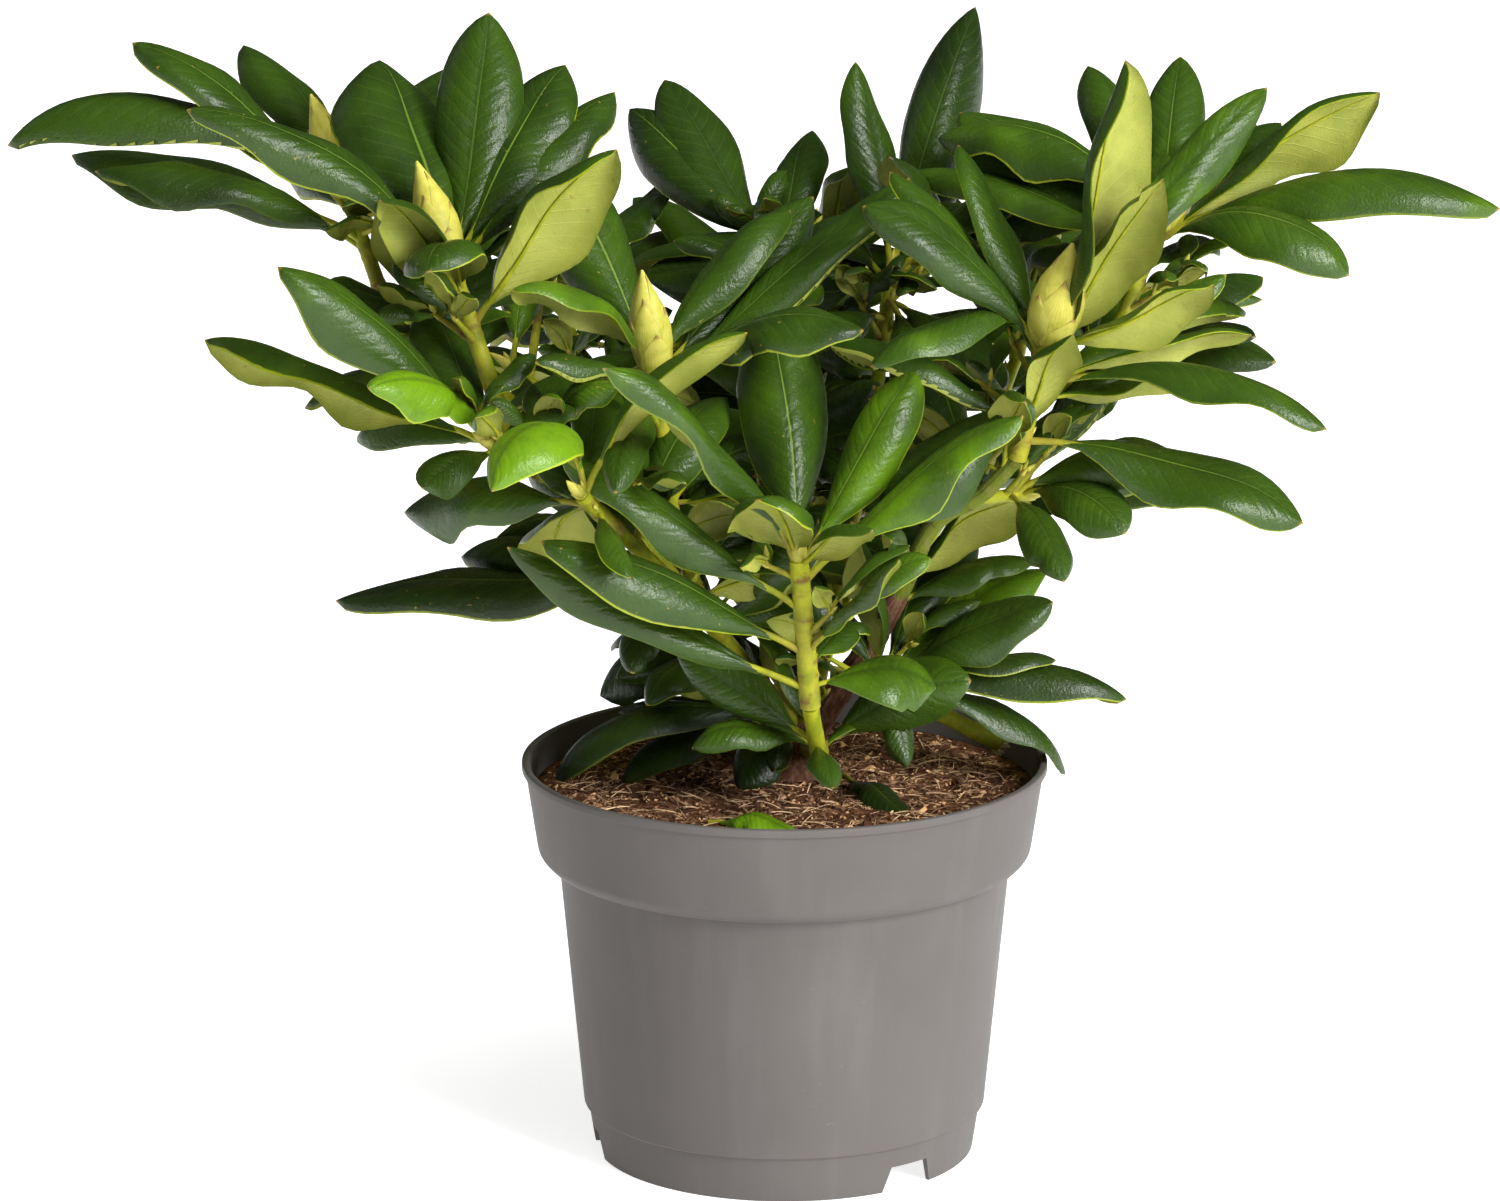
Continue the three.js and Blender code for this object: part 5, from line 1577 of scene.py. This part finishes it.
@dataclass
class Buds:
    """The buds: an inner cone wrapped in scales that overlap up a spiral.

    A profile has shares of the bud's height, after a foot in millimetres, and the radii there as
    shares of its greatest.
    """

    growths: list[Growth]
    thick: float = 0.28
    foot: float = -1.5
    axil_size: float = 0.42
    long_profile: tuple[tuple[float, ...], ...] = (
        (-2, 0, 0.12, 0.26, 0.42, 0.58, 0.74, 0.88, 0.96, 1),
        (0.42, 0.6, 0.86, 0.99, 1.0, 0.86, 0.56, 0.27, 0.12, 0.02))
    round_profile: tuple[tuple[float, ...], ...] = (
        (-1, 0, 0.15, 0.35, 0.55, 0.75, 0.9, 1, 1, 1),
        (0.7, 0.85, 0.98, 0.98, 0.8, 0.52, 0.25, 0.04, 0.03, 0.02))

    def __post_init__(self) -> None:
        """Makes the finish and the tree that sets buds out."""
        self.finish = BudScaleFinish("bud_scales", roughness=0.5, specular=0.25).material()
        self.tree = PlantTree()

    def girth(self, bud: Bud, height: Array) -> Array:
        """Gives the bud's radius at heights above its foot."""
        tall, wide = bud.value
        marks, sizes = self.long_profile if bud in (Bud.FAT, Bud.SLIM) else self.round_profile
        spots = np.array([mark if mark < 0 else mark * tall for mark in marks]) + np.arange(len(marks)) * 1e-6
        return np.interp(height, spots, np.array(sizes) * wide)

    def scale(self, bud: Bud, patches: Patchwork, number: int) -> None:
        """Adds one scale that hugs the bud, pointed and a little free at its tip.

        Args:
            bud: the kind of bud.
            patches: what it goes into.
            number: which scale it is, from the lowest.
        """
        tall, wide = bud.value
        mesh, draw = BUD_MESHES[bud], Draws(40 + number)
        up = number / mesh.scales
        start = self.foot + 0.3 * tall * up ** 1.3
        length = min(tall * (0.28 + 0.5 * up ** 0.7) * (0.9 + 0.2 * draw()), tall - start)
        turn = math.radians(GOLDEN * number + 12 * draw())
        columns, share = np.array(mesh.columns), np.linspace(0, 1, mesh.rows)[:, None]
        spread = math.radians(78) * (1 - 0.2 * up) * np.clip(1 - share ** 1.7, 0.012, 1) ** 1.05
        height = start + length * share
        free = 0.02 * wide * np.clip((share - 0.8) / 0.2, 0, 1) ** 2
        base = self.girth(bud, height) * 0.91 + ((1 - up) * 0.045 + 0.02) * wide + free
        angle = turn + spread * columns
        level = height - 0.02 * tall * columns ** 2 * (1 - share)
        sides = []
        for shift in (0.0, -self.thick * wide / 12):
            radius = base + shift + 0.025 * wide * (0.4 - columns ** 2)
            sides.append(np.stack([radius * np.cos(angle), radius * np.sin(angle), level], -1))
        flat = np.stack(np.broadcast_arrays((columns + 1) / 2, share), -1)
        quads = np.concatenate(thin_skin(*angle.shape, turned=True))
        patches.add(np.stack(sides).reshape(-1, 3), quads, np.zeros(len(quads)),
                    np.stack([flat, flat]).reshape(-1, 2))

    def core(self, bud: Bud, patches: Patchwork) -> None:
        """Adds the closed cone inside the scales."""
        tall, _ = bud.value
        count, around = BUD_MESHES[bud].rings, BUD_MESHES[bud].sides
        height = np.linspace(self.foot, tall * 0.985, count)[:, None]
        radius = self.girth(bud, height) * 0.92
        angle = np.arange(around) * math.tau / around
        rings = np.stack(np.broadcast_arrays(radius * np.cos(angle), radius * np.sin(angle), height), -1)
        points = np.concatenate([rings.reshape(-1, 3), [[0, 0, height[0, 0]]], [[0, 0, height[-1, 0]]]])
        grid, sides = stacked_rings(count, around)
        foot, tip = grid.size, grid.size + 1
        pairs = [(k, k + 1, (k + 2) % around) for k in range(0, around, 2)]
        caps = [(foot, grid[0, c], grid[0, b], grid[0, a]) for a, b, c in pairs]
        caps += [(tip, grid[-1, a], grid[-1, b], grid[-1, c]) for a, b, c in pairs]
        levels = np.append(np.repeat(np.linspace(0, 0.85, count), around), [0, 0.85])
        quads = np.concatenate([sides, np.array(caps)])
        patches.add(points, quads, np.zeros(len(quads)), np.stack([np.full(len(points), 0.5), levels], -1))

    def pattern(self, bud: Bud) -> Thing:
        """Makes one bud, standing on the origin, for the tree to copy."""
        patches = Patchwork()
        self.core(bud, patches)
        for number in range(BUD_MESHES[bud].scales):
            self.scale(bud, patches, number)
        return patches.piece("bud_pattern_" + bud.name.lower(), [self.finish])

    def places(self, bud: Bud) -> list[tuple[Array, Array, float, float]]:
        """Lists the places of one kind of bud, each with its way, its spin and its size."""
        places = []
        for growth in self.growths:
            if growth.shoot.bud is bud:
                places.append((growth.top, growth.along, growth.number * 1.3, 1.0))
            if bud is Bud.TINY:
                for place, way in self.axils(growth):
                    places.append((place, way, growth.number + len(places) + 1, self.axil_size))
        return places

    def dress(self) -> list[Thing]:
        """Sets every bud on its tip, and small ones where leaves root."""
        pieces = []
        for bud in Bud:
            points, ways, spins, sizes = (np.array(column) for column in zip(*self.places(bud)))
            mesh = mesh_of("bud_tips", points, [], [])
            for axis, label in enumerate(("way_x", "way_y", "way_z")):
                store(mesh, label, ways[:, axis])
            store(mesh, "spin", spins)
            store(mesh, "size", sizes)
            pattern = self.pattern(bud)
            values = {"Piece": pattern, "Material": self.finish}
            piece = self.tree.run("buds_" + bud.name.lower(), shown("bud_tips", mesh), values)
            bpy.data.objects.remove(pattern)
            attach(piece, "root")
            pieces.append(piece)
        return pieces

    def axils(self, growth: Growth) -> list[tuple[Array, Array]]:
        """Finds the places of the small buds that sit in leaf axils, and the tips of twigs."""
        places = []
        for blade in growth.blades[::2]:
            out = heading(blade.azimuth, blade.rise + 25)
            places.append((blade.root + growth.along * 2.2 + out * 2.6, out * 0.7 + growth.along))
        for line in growth.twigs + growth.sprigs:
            places.append((line[-1], (line[-1] - line[0]) / np.linalg.norm(line[-1] - line[0])))
        return places


# --- pot and soil


@dataclass
class Pot:
    """The moulded pot: a lathed wall with a collar, a skirt, a drain channel and three drain gaps."""

    height: float = 176
    rim_radius: float = 115
    lip_height: float = 3.5
    lip_proud: float = 1.5
    collar_foot: float = 132
    collar_foot_radius: float = 108
    collar_round: float = 4
    body_top_radius: float = 99
    body_foot_radius: float = 88.5
    skirt_height: float = 21
    skirt_top_radius: float = 86.5
    skirt_foot_radius: float = 83.5
    wall: float = 2.2
    floor: float = 2.6
    disc_radius: float = 60
    channel_rise: float = 12.5
    channel_inner: float = 67
    gap_count: int = 3
    gap_azimuth: float = -50
    gap_foot: float = 27
    gap_top: float = 20
    gap_height: float = 11.5
    segments: int = 168
    crease: float = 28

    def inner_radius(self, height: float) -> float:
        """Gives the inside radius of the collar at a height."""
        low, high = self.collar_foot + self.collar_round + 2, self.height
        share = (height - low) / (high - low)
        return self.collar_foot_radius - self.wall + share * (self.rim_radius - 1 - self.collar_foot_radius)

    def outline(self) -> list[tuple[float, float, float]]:
        """Lists the wall's corners, from the flat underside round to the floor inside.

        Returns:
            Radius, height and how much each corner is rounded.
        """
        wall, rim, collar, body = self.wall, self.rim_radius, self.collar_foot_radius, self.body_top_radius
        skirt, lip, round_top = self.skirt_foot_radius, self.height - self.lip_height, self.collar_round
        raised = self.channel_rise + self.floor
        return [
            (self.disc_radius, 0, 1.5),
            (self.channel_inner, self.channel_rise, 2),
            (skirt - wall + 1, self.channel_rise, 2),
            (skirt - wall, 0, 0.5),
            (skirt, 0, 0.5),
            (self.skirt_top_radius, self.skirt_height - 1, 0.3),
            (self.body_foot_radius, self.skirt_height, 0.7),
            (body, self.collar_foot - 1, 1.2),
            (collar - round_top, self.collar_foot, 1.0),
            (collar, self.collar_foot + round_top, 2.4),
            (rim - self.lip_proud, lip, 0.5),
            (rim, lip, 0.5),
            (rim, self.height, 0.9),
            (rim - wall - 1, self.height, 0.9),
            (collar - wall, self.collar_foot + round_top + 2, 3),
            (body - wall, self.collar_foot + 1, 3),
            (self.skirt_top_radius - wall - 1, raised, 3),
            (self.channel_inner - 1, raised, 2),
            (self.disc_radius - 1, self.floor, 1.5),
        ]

    def rounded(self, steps: int = 5) -> Array:
        """Gives the wall's outline with each corner rounded off."""
        corners = self.outline()
        rows = [corners[0][:2]]
        for (r0, z0, _), (r1, z1, size), (r2, z2, _) in zip(corners, corners[1:], corners[2:]):
            here = np.array([r1, z1])
            back, on = np.array([r0, z0]) - here, np.array([r2, z2]) - here
            size = min(size, 0.45 * np.linalg.norm(back), 0.45 * np.linalg.norm(on))
            start = here + back / np.linalg.norm(back) * size
            end = here + on / np.linalg.norm(on) * size
            for t in np.linspace(0, 1, steps):
                rows.append(tuple(start * (1 - t) ** 2 + here * 2 * t * (1 - t) + end * t ** 2))
        rows.append(corners[-1][:2])
        return np.array(rows)

    def lathed(self) -> Thing:
        """Turns the outline into a closed wall."""
        outline = self.rounded()
        angle = np.arange(self.segments) * math.tau / self.segments
        rings = np.stack(np.broadcast_arrays(
            outline[:, :1] * np.cos(angle), outline[:, :1] * np.sin(angle), outline[:, 1:]), -1)
        grid, sides = stacked_rings(len(outline), self.segments)
        faces = sides.tolist() + [grid[0, ::-1].tolist(), grid[-1].tolist()]
        return shown("pot_wall", mesh_of("pot_wall", rings.reshape(-1, 3), [], faces))

    def wedge(self) -> Thing:
        """Makes the wedge that cuts a drain gap, wider at the ground, where azimuth 0 has it."""
        rows = []
        for out in (self.channel_inner + 2, self.channel_inner + 26):
            foot, top, high = self.gap_foot / 2 + 0.3, self.gap_top / 2, self.gap_height
            rows += [(out, -foot, -1), (out, foot, -1), (out, top, high), (out, -top, high)]
        faces = [(0, 3, 2, 1), (4, 5, 6, 7), (0, 1, 5, 4), (1, 2, 6, 5), (2, 3, 7, 6), (3, 0, 4, 7)]
        return shown("gap_wedge", mesh_of("gap_wedge", rows, [], faces))

    def gap_tree(self) -> Tree:
        """Wires the tree that cuts the drain gaps round the skirt."""
        tree = Tree("Drain gaps", {
            "Wedge": "Object", "Gaps": "Int", "First": "Float", "Material": "Material"})
        source = tree.source
        places = tree.node("GeometryNodeMeshCircle", {0: source["Gaps"], 1: 0.0})
        step = tree.math("DIVIDE", math.tau, source["Gaps"])
        turn = source["First"] + tree.node("GeometryNodeInputIndex") * step
        spun = tree.node("FunctionNodeAxisAngleToRotation", {0: (0, 0, 1), 1: turn})
        wedge = tree.node("GeometryNodeObjectInfo", {0: source["Wedge"]}, "Geometry")
        wedges = tree.node("GeometryNodeInstanceOnPoints", {0: places, 2: wedge, 5: spun})
        wedges = tree.node("GeometryNodeRealizeInstances", {0: wedges})
        tree.finish(tree.node("GeometryNodeMeshBoolean", {0: source["Geometry"], 1: wedges},
                              operation="DIFFERENCE", solver="EXACT"))
        return tree

    def dress(self) -> Thing:
        """Makes the pot."""
        finish = PotPlastic("pot_plastic", roughness=0.5, specular=0.1).material()
        wedge = self.wedge()
        values = {"Wedge": wedge, "Gaps": self.gap_count, "First": math.radians(self.gap_azimuth),
                  "Material": finish}
        pot = self.gap_tree().run("pot_wall_moulded", self.lathed(), values)
        bpy.data.objects.remove(wedge)
        pot.data.set_sharp_from_angle(angle=math.radians(self.crease))
        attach(pot, "root")
        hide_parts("pot")
        return pot


class ScatterTree(Tree):
    """Strews seeded copies of a few scraps over the upward faces of a bed."""

    def __init__(self) -> None:
        """Wires the tree."""
        super().__init__("Scatter", {
            "Scraps": "Collection", "Density": "Float", "Spread": "Float", "Smallest": "Float",
            "Largest": "Float", "Tilt": "Float", "Sink": "Float", "Seed": "Int", "Material": "Material"})
        source, seed, tilt = self.source, self.source["Seed"], self.source["Tilt"]
        place = self.node("GeometryNodeInputPosition")
        flat = self.node("ShaderNodeVectorMath", {0: place, 1: (1, 1, 0)}, operation="MULTIPLY")
        out = self.node("ShaderNodeVectorMath", {0: flat}, 1, operation="LENGTH")
        up = self.node("ShaderNodeSeparateXYZ", {0: self.node("GeometryNodeInputNormal")}, 2)
        facing = self.math("LESS_THAN", out, source["Spread"]) * self.math("GREATER_THAN", up, 0.3)
        points = self.node("GeometryNodeDistributePointsOnFaces", {
            0: source["Geometry"], 4: source["Density"] * facing, 6: seed})
        scraps = self.node("GeometryNodeCollectionInfo", {0: source["Scraps"], 1: True, 2: True})
        nod, rock = self.chance(tilt * -1.0, tilt, seed + 1), self.chance(tilt * -1.0, tilt, seed + 2)
        spin = self.chance(0.0, 6.283, seed + 3)
        angles = self.node("ShaderNodeCombineXYZ", {0: nod, 1: rock, 2: spin})
        turn = self.node("FunctionNodeEulerToRotation", {0: angles})
        size = self.chance(source["Smallest"], source["Largest"], seed + 4)
        pick = self.node("FunctionNodeRandomValue", {4: 0, 5: 50, 8: seed + 5}, 2, data_type="INT")
        strewn = self.node("GeometryNodeInstanceOnPoints", {
            0: points, 2: scraps, 3: True, 4: pick, 5: turn, 6: size})
        sunk = self.node("ShaderNodeCombineXYZ", {2: source["Sink"] * -1.0})
        strewn = self.node("GeometryNodeTranslateInstances", {0: strewn, 2: sunk, 3: False})
        shade = self.chance(0.0, 1.0, seed + 6)
        self.finish(self.node("GeometryNodeStoreNamedAttribute", {0: strewn, 2: "shade", 3: shade},
                              domain="INSTANCE"))


@dataclass
class SoilBed:
    """The bark soil: a lumpy bed, strewn with scraps of bark, crumbs and pale fibres."""

    edge: float = 163
    middle: float = 166
    flat_radius: float = 26
    foot: float = 139
    foot_radius: float = 105
    clear: float = 0.35
    lump: float = 1.5
    rings: int = 46
    segments: int = 132

    def surface(self, radius: float, x: float, y: float, edge_radius: float) -> float:
        """Gives the height of the bed over a point."""
        share = min(max((edge_radius - radius) / (edge_radius - self.flat_radius), 0), 1)
        height = self.edge + (self.middle - self.edge) * share
        wild = min(max((radius - 14) / 14, 0), 1) * min((edge_radius - radius) / 5, 1)
        lumps = 1.3 * noise.noise((x * 0.055, y * 0.055, 1.0)) + noise.noise((x * 0.16, y * 0.16, 3.0))
        crumbs = 0.6 * noise.noise((x * 0.5, y * 0.5, 5.0))
        return height + self.lump * (lumps + crumbs) * max(wild, 0)

    def bed(self, pot: Pot) -> Thing:
        """Makes the bed, closed below where the pot hides it."""
        edge_radius = pot.inner_radius(self.edge) - self.clear
        angle = np.arange(self.segments) * math.tau / self.segments
        rows = [(self.foot_radius * math.cos(t), self.foot_radius * math.sin(t), self.foot) for t in angle]
        for radius in np.linspace(edge_radius, 1.2, self.rings):
            for turn in angle:
                x, y = radius * math.cos(turn), radius * math.sin(turn)
                rows.append((x, y, self.surface(radius, x, y, edge_radius)))
        rows.append((0, 0, self.surface(0, 0, 0, edge_radius)))
        grid, sides = stacked_rings(self.rings + 1, self.segments)
        faces = sides.tolist() + [(len(rows) - 1, a, b) for a, b in zip(grid[-1], np.roll(grid[-1], -1))]
        faces.append(grid[0, ::-1].tolist())
        mesh = mesh_of("soil_bed", rows, [], faces)
        mesh.materials.append(PeatFinish("damp_peat", roughness=0.9, specular=0.2).material())
        mesh.shade_smooth()
        return shown("soil_bed", mesh)

    def plate(self, name: str, seed: int, long: float, wide: float, thick: float) -> Thing:
        """Makes one broken flake.

        Args:
            name: its name.
            seed: what its outline starts from.
            long: its length.
            wide: its width.
            thick: its thickness.

        Returns:
            The flake, round the origin.
        """
        chance = np.random.default_rng(seed)
        corners = 6
        turn = (np.arange(corners) + chance.uniform(-0.3, 0.3, corners)) * math.tau / corners
        out = chance.uniform(0.7, 1.1, corners)
        ring = np.stack([np.cos(turn) * out * long / 2, np.sin(turn) * out * wide / 2], -1)
        bend = chance.uniform(-0.15, 0.15) * ring[:, 0]
        upper = ring * chance.uniform(0.75, 1.0, (corners, 1))
        top = np.column_stack([upper, bend + thick / 2 + chance.uniform(-0.2, 0.2, corners) * thick])
        base = np.column_stack([ring, bend - thick / 2])
        faces = [list(range(corners)), list(range(2 * corners - 1, corners - 1, -1))]
        faces += [(k + corners, (k + 1) % corners + corners, (k + 1) % corners, k) for k in range(corners)]
        return bpy.data.objects.new(name, mesh_of(name, np.concatenate([top, base]), [], faces))

    def fibre(self, name: str, seed: int, long: float, wide: float) -> Thing:
        """Makes one bent fibre of a given length and width."""
        chance = np.random.default_rng(seed)
        share = np.linspace(-0.5, 0.5, 5)
        bow = chance.uniform(-0.35, 0.35)
        x, y = share * long, bow * long * (share ** 2 - 0.1)
        z = 0.6 * np.cos(share * 3) + chance.uniform(0, 0.8)
        girth = wide / 2 * np.array([0.5, 1, 1, 0.9, 0.4])
        rows = []
        for k in range(5):
            for turn in (0, 2.1, 4.2):
                rows.append((x[k], y[k] + girth[k] * math.cos(turn), z[k] + girth[k] * math.sin(turn)))
        faces = [(0, 2, 1), (12, 13, 14)]
        for k in range(4):
            for side in range(3):
                a, b = 3 * k + side, 3 * k + (side + 1) % 3
                faces.append((a, b, b + 3, a + 3))
        return bpy.data.objects.new(name, mesh_of(name, rows, [], faces))

    def strewn(self, name: str, scraps: list[Thing], bed: Thing, tree: ScatterTree,
               values: dict[str, object]) -> Thing:
        """Strews scraps over the bed.

        Args:
            name: the finished piece's name.
            scraps: the shapes to copy.
            bed: what they lie on.
            tree: the tree that strews them.
            values: its inputs.

        Returns:
            One piece of all the copies.
        """
        store_room = bpy.data.collections.new(name + "_shapes")
        for scrap in scraps:
            store_room.objects.link(scrap)
        base = shown(name + "_bed", bed.data.copy())
        piece = tree.run(name, base, {**values, "Scraps": store_room})
        for scrap in scraps:
            bpy.data.objects.remove(scrap)
        bpy.data.collections.remove(store_room)
        piece.data.shade_flat()
        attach(piece, "root")
        return piece

    def dress(self, pot: Pot) -> list[Thing]:
        """Makes the bed and all that is strewn over it."""
        bed = self.bed(pot)
        tree = ScatterTree()
        bark = BarkScrap("bark_scrap", roughness=0.85, specular=0.25).material()
        straw = BarkScrap("pale_fibre", roughness=0.8, dark=(0.14, 0.06, 0.026),
                          light=(0.88, 0.60, 0.35)).material()
        flakes = [self.plate(f"flake_{k}", 20 + k, 11 - 1.5 * k, 4.6 - 0.6 * k, 1.6) for k in range(5)]
        crumbs = [self.plate(f"crumb_{k}", 40 + k, 5 - k, 1.1, 0.8) for k in range(4)]
        chips = [self.plate(f"chip_{k}", 80 + k, 7 - k, 1.7, 0.6) for k in range(3)]
        fibres = [self.fibre(f"fibre_{k}", 60 + k, 6 + 2.5 * k, 0.5) for k in range(4)]
        # Densities are counts to the square metre. Spreads and sinks are metres, and tilts are radians.
        labels = "Density", "Spread", "Smallest", "Largest", "Tilt", "Sink", "Seed", "Material"
        strewing = {
            "bark_flakes": (flakes, 17000.0, 0.1015, 0.35, 1.1, 0.7, 0.0002, 3, bark),
            "bark_crumbs": (crumbs, 170000.0, 0.1065, 0.35, 1.1, 0.7, 0.0001, 17, bark),
            "pale_chips": (chips, 7000.0, 0.103, 0.4, 1.1, 0.5, 0.0, 53, straw),
            "pale_fibres": (fibres, 80000.0, 0.099, 0.35, 1.2, 0.35, 0.0, 31, straw),
        }
        pieces = [self.strewn(name, scraps, bed, tree, dict(zip(labels, row)))
                  for name, (scraps, *row) in strewing.items()]
        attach(bed, "root")
        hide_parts("soil")
        return [bed] + pieces


# --- studio


@dataclass
class Studio:
    """The pale floor, its size in millimetres, and the soft lights and the camera, placed in metres."""

    floor_size: float = 14000
    camera_place: Triple = (0.0, -2.9647, 1.0011)
    camera_aim: Triple = (-0.0152, 0.0202, 0.2419)
    lens: float = 168.7
    sky: float = 0.05
    ceiling: float = 2.8

    def floor(self) -> None:
        """Lays the floor."""
        half = self.floor_size / 2
        corners = [(-half, -half, 0), (half, -half, 0), (half, half, 0), (-half, half, 0)]
        mesh = mesh_of("pale_floor", corners, [], [(0, 1, 2, 3)])
        mesh.materials.append(PaleFloor("pale_floor", roughness=0.75, specular=0.2).material())
        floor = shown("pale_floor", mesh)

    def aimed(self, thing: Thing, place: Triple, aim: Triple) -> None:
        """Puts a light or the camera at a place, looking at another."""
        thing.location = place
        thing.rotation_euler = (Vector(aim) - Vector(place)).to_track_quat("-Z", "Y").to_euler()
        bpy.context.scene.collection.objects.link(thing)

    def lamp(self, name: str, place: Triple, size: Pair, power: float) -> None:
        """Hangs a soft light of a width and height in metres and a power in watts."""
        light = bpy.data.lights.new(name, "AREA")
        light.shape = "RECTANGLE"
        light.size, light.size_y = size
        light.energy = power
        self.aimed(bpy.data.objects.new(name, light), place, (0, 0, 0.3))

    def set_up(self) -> None:
        """Sets up the floor, the lights, the sky and the camera."""
        self.floor()
        self.lamp("right_window", (1.7, -1.9, 1.4), (0.9, 1.4), 115)
        self.lamp("left_window", (-2.0, 0.9, 1.5), (0.7, 1.4), 2)
        ceiling = bpy.data.lights.new("ceiling", "SUN")
        ceiling.energy = self.ceiling
        ceiling.angle = math.radians(50)
        overhead = bpy.data.objects.new("ceiling", ceiling)
        overhead.visible_glossy = False
        self.aimed(overhead, (0.5, -0.4, 3.0), (0, 0, 0))
        world = bpy.data.worlds.new("studio_air")
        world.use_nodes = True
        sky = world.node_tree.nodes["Background"]
        sky.inputs[0].default_value = (1, 1, 1, 1)
        sky.inputs[1].default_value = self.sky
        bpy.context.scene.world = world
        bpy.context.scene.view_settings.view_transform = "Standard"
        camera = bpy.data.cameras.new("studio_camera")
        camera.lens = self.lens
        camera.sensor_width = 36
        camera.clip_end = 50
        stand = bpy.data.objects.new("studio_camera", camera)
        self.aimed(stand, self.camera_place, self.camera_aim)
        bpy.context.scene.camera = stand


# --- assembly


def report(pieces: list[Thing]) -> None:
    """Reports each finished piece and its faces."""
    for piece in pieces:
        log.info("%s: %d faces", piece.name, len(piece.data.polygons))


def main() -> None:
    """Builds and dresses the potted rhododendron, piece by piece."""
    logging.basicConfig(level=logging.INFO, format="%(message)s")
    Studio().set_up()
    pot = Pot()
    report([pot.dress()])
    report(SoilBed().dress(pot))
    everything = NodeShape(list(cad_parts))
    growths = []
    for number, shoot in enumerate(SHOOTS, 1):
        growth = Growth(shoot, number)
        growth.grow(NodeShape([shoot.name]), everything)
        log.info("%s: %d leaves, %d twigs, %d sprigs", shoot.name, len(growth.blades), len(growth.twigs),
                 len(growth.sprigs))
        growths.append(growth)
    tubes = TubeTree()
    wood = Woodwork()
    report(wood.dress_limbs(tubes))
    report(wood.dress_stems(growths, tubes))
    report(Foliage().dress(growths, tubes))
    report(Buds(growths).dress())


if __name__ == "__main__":
    main()
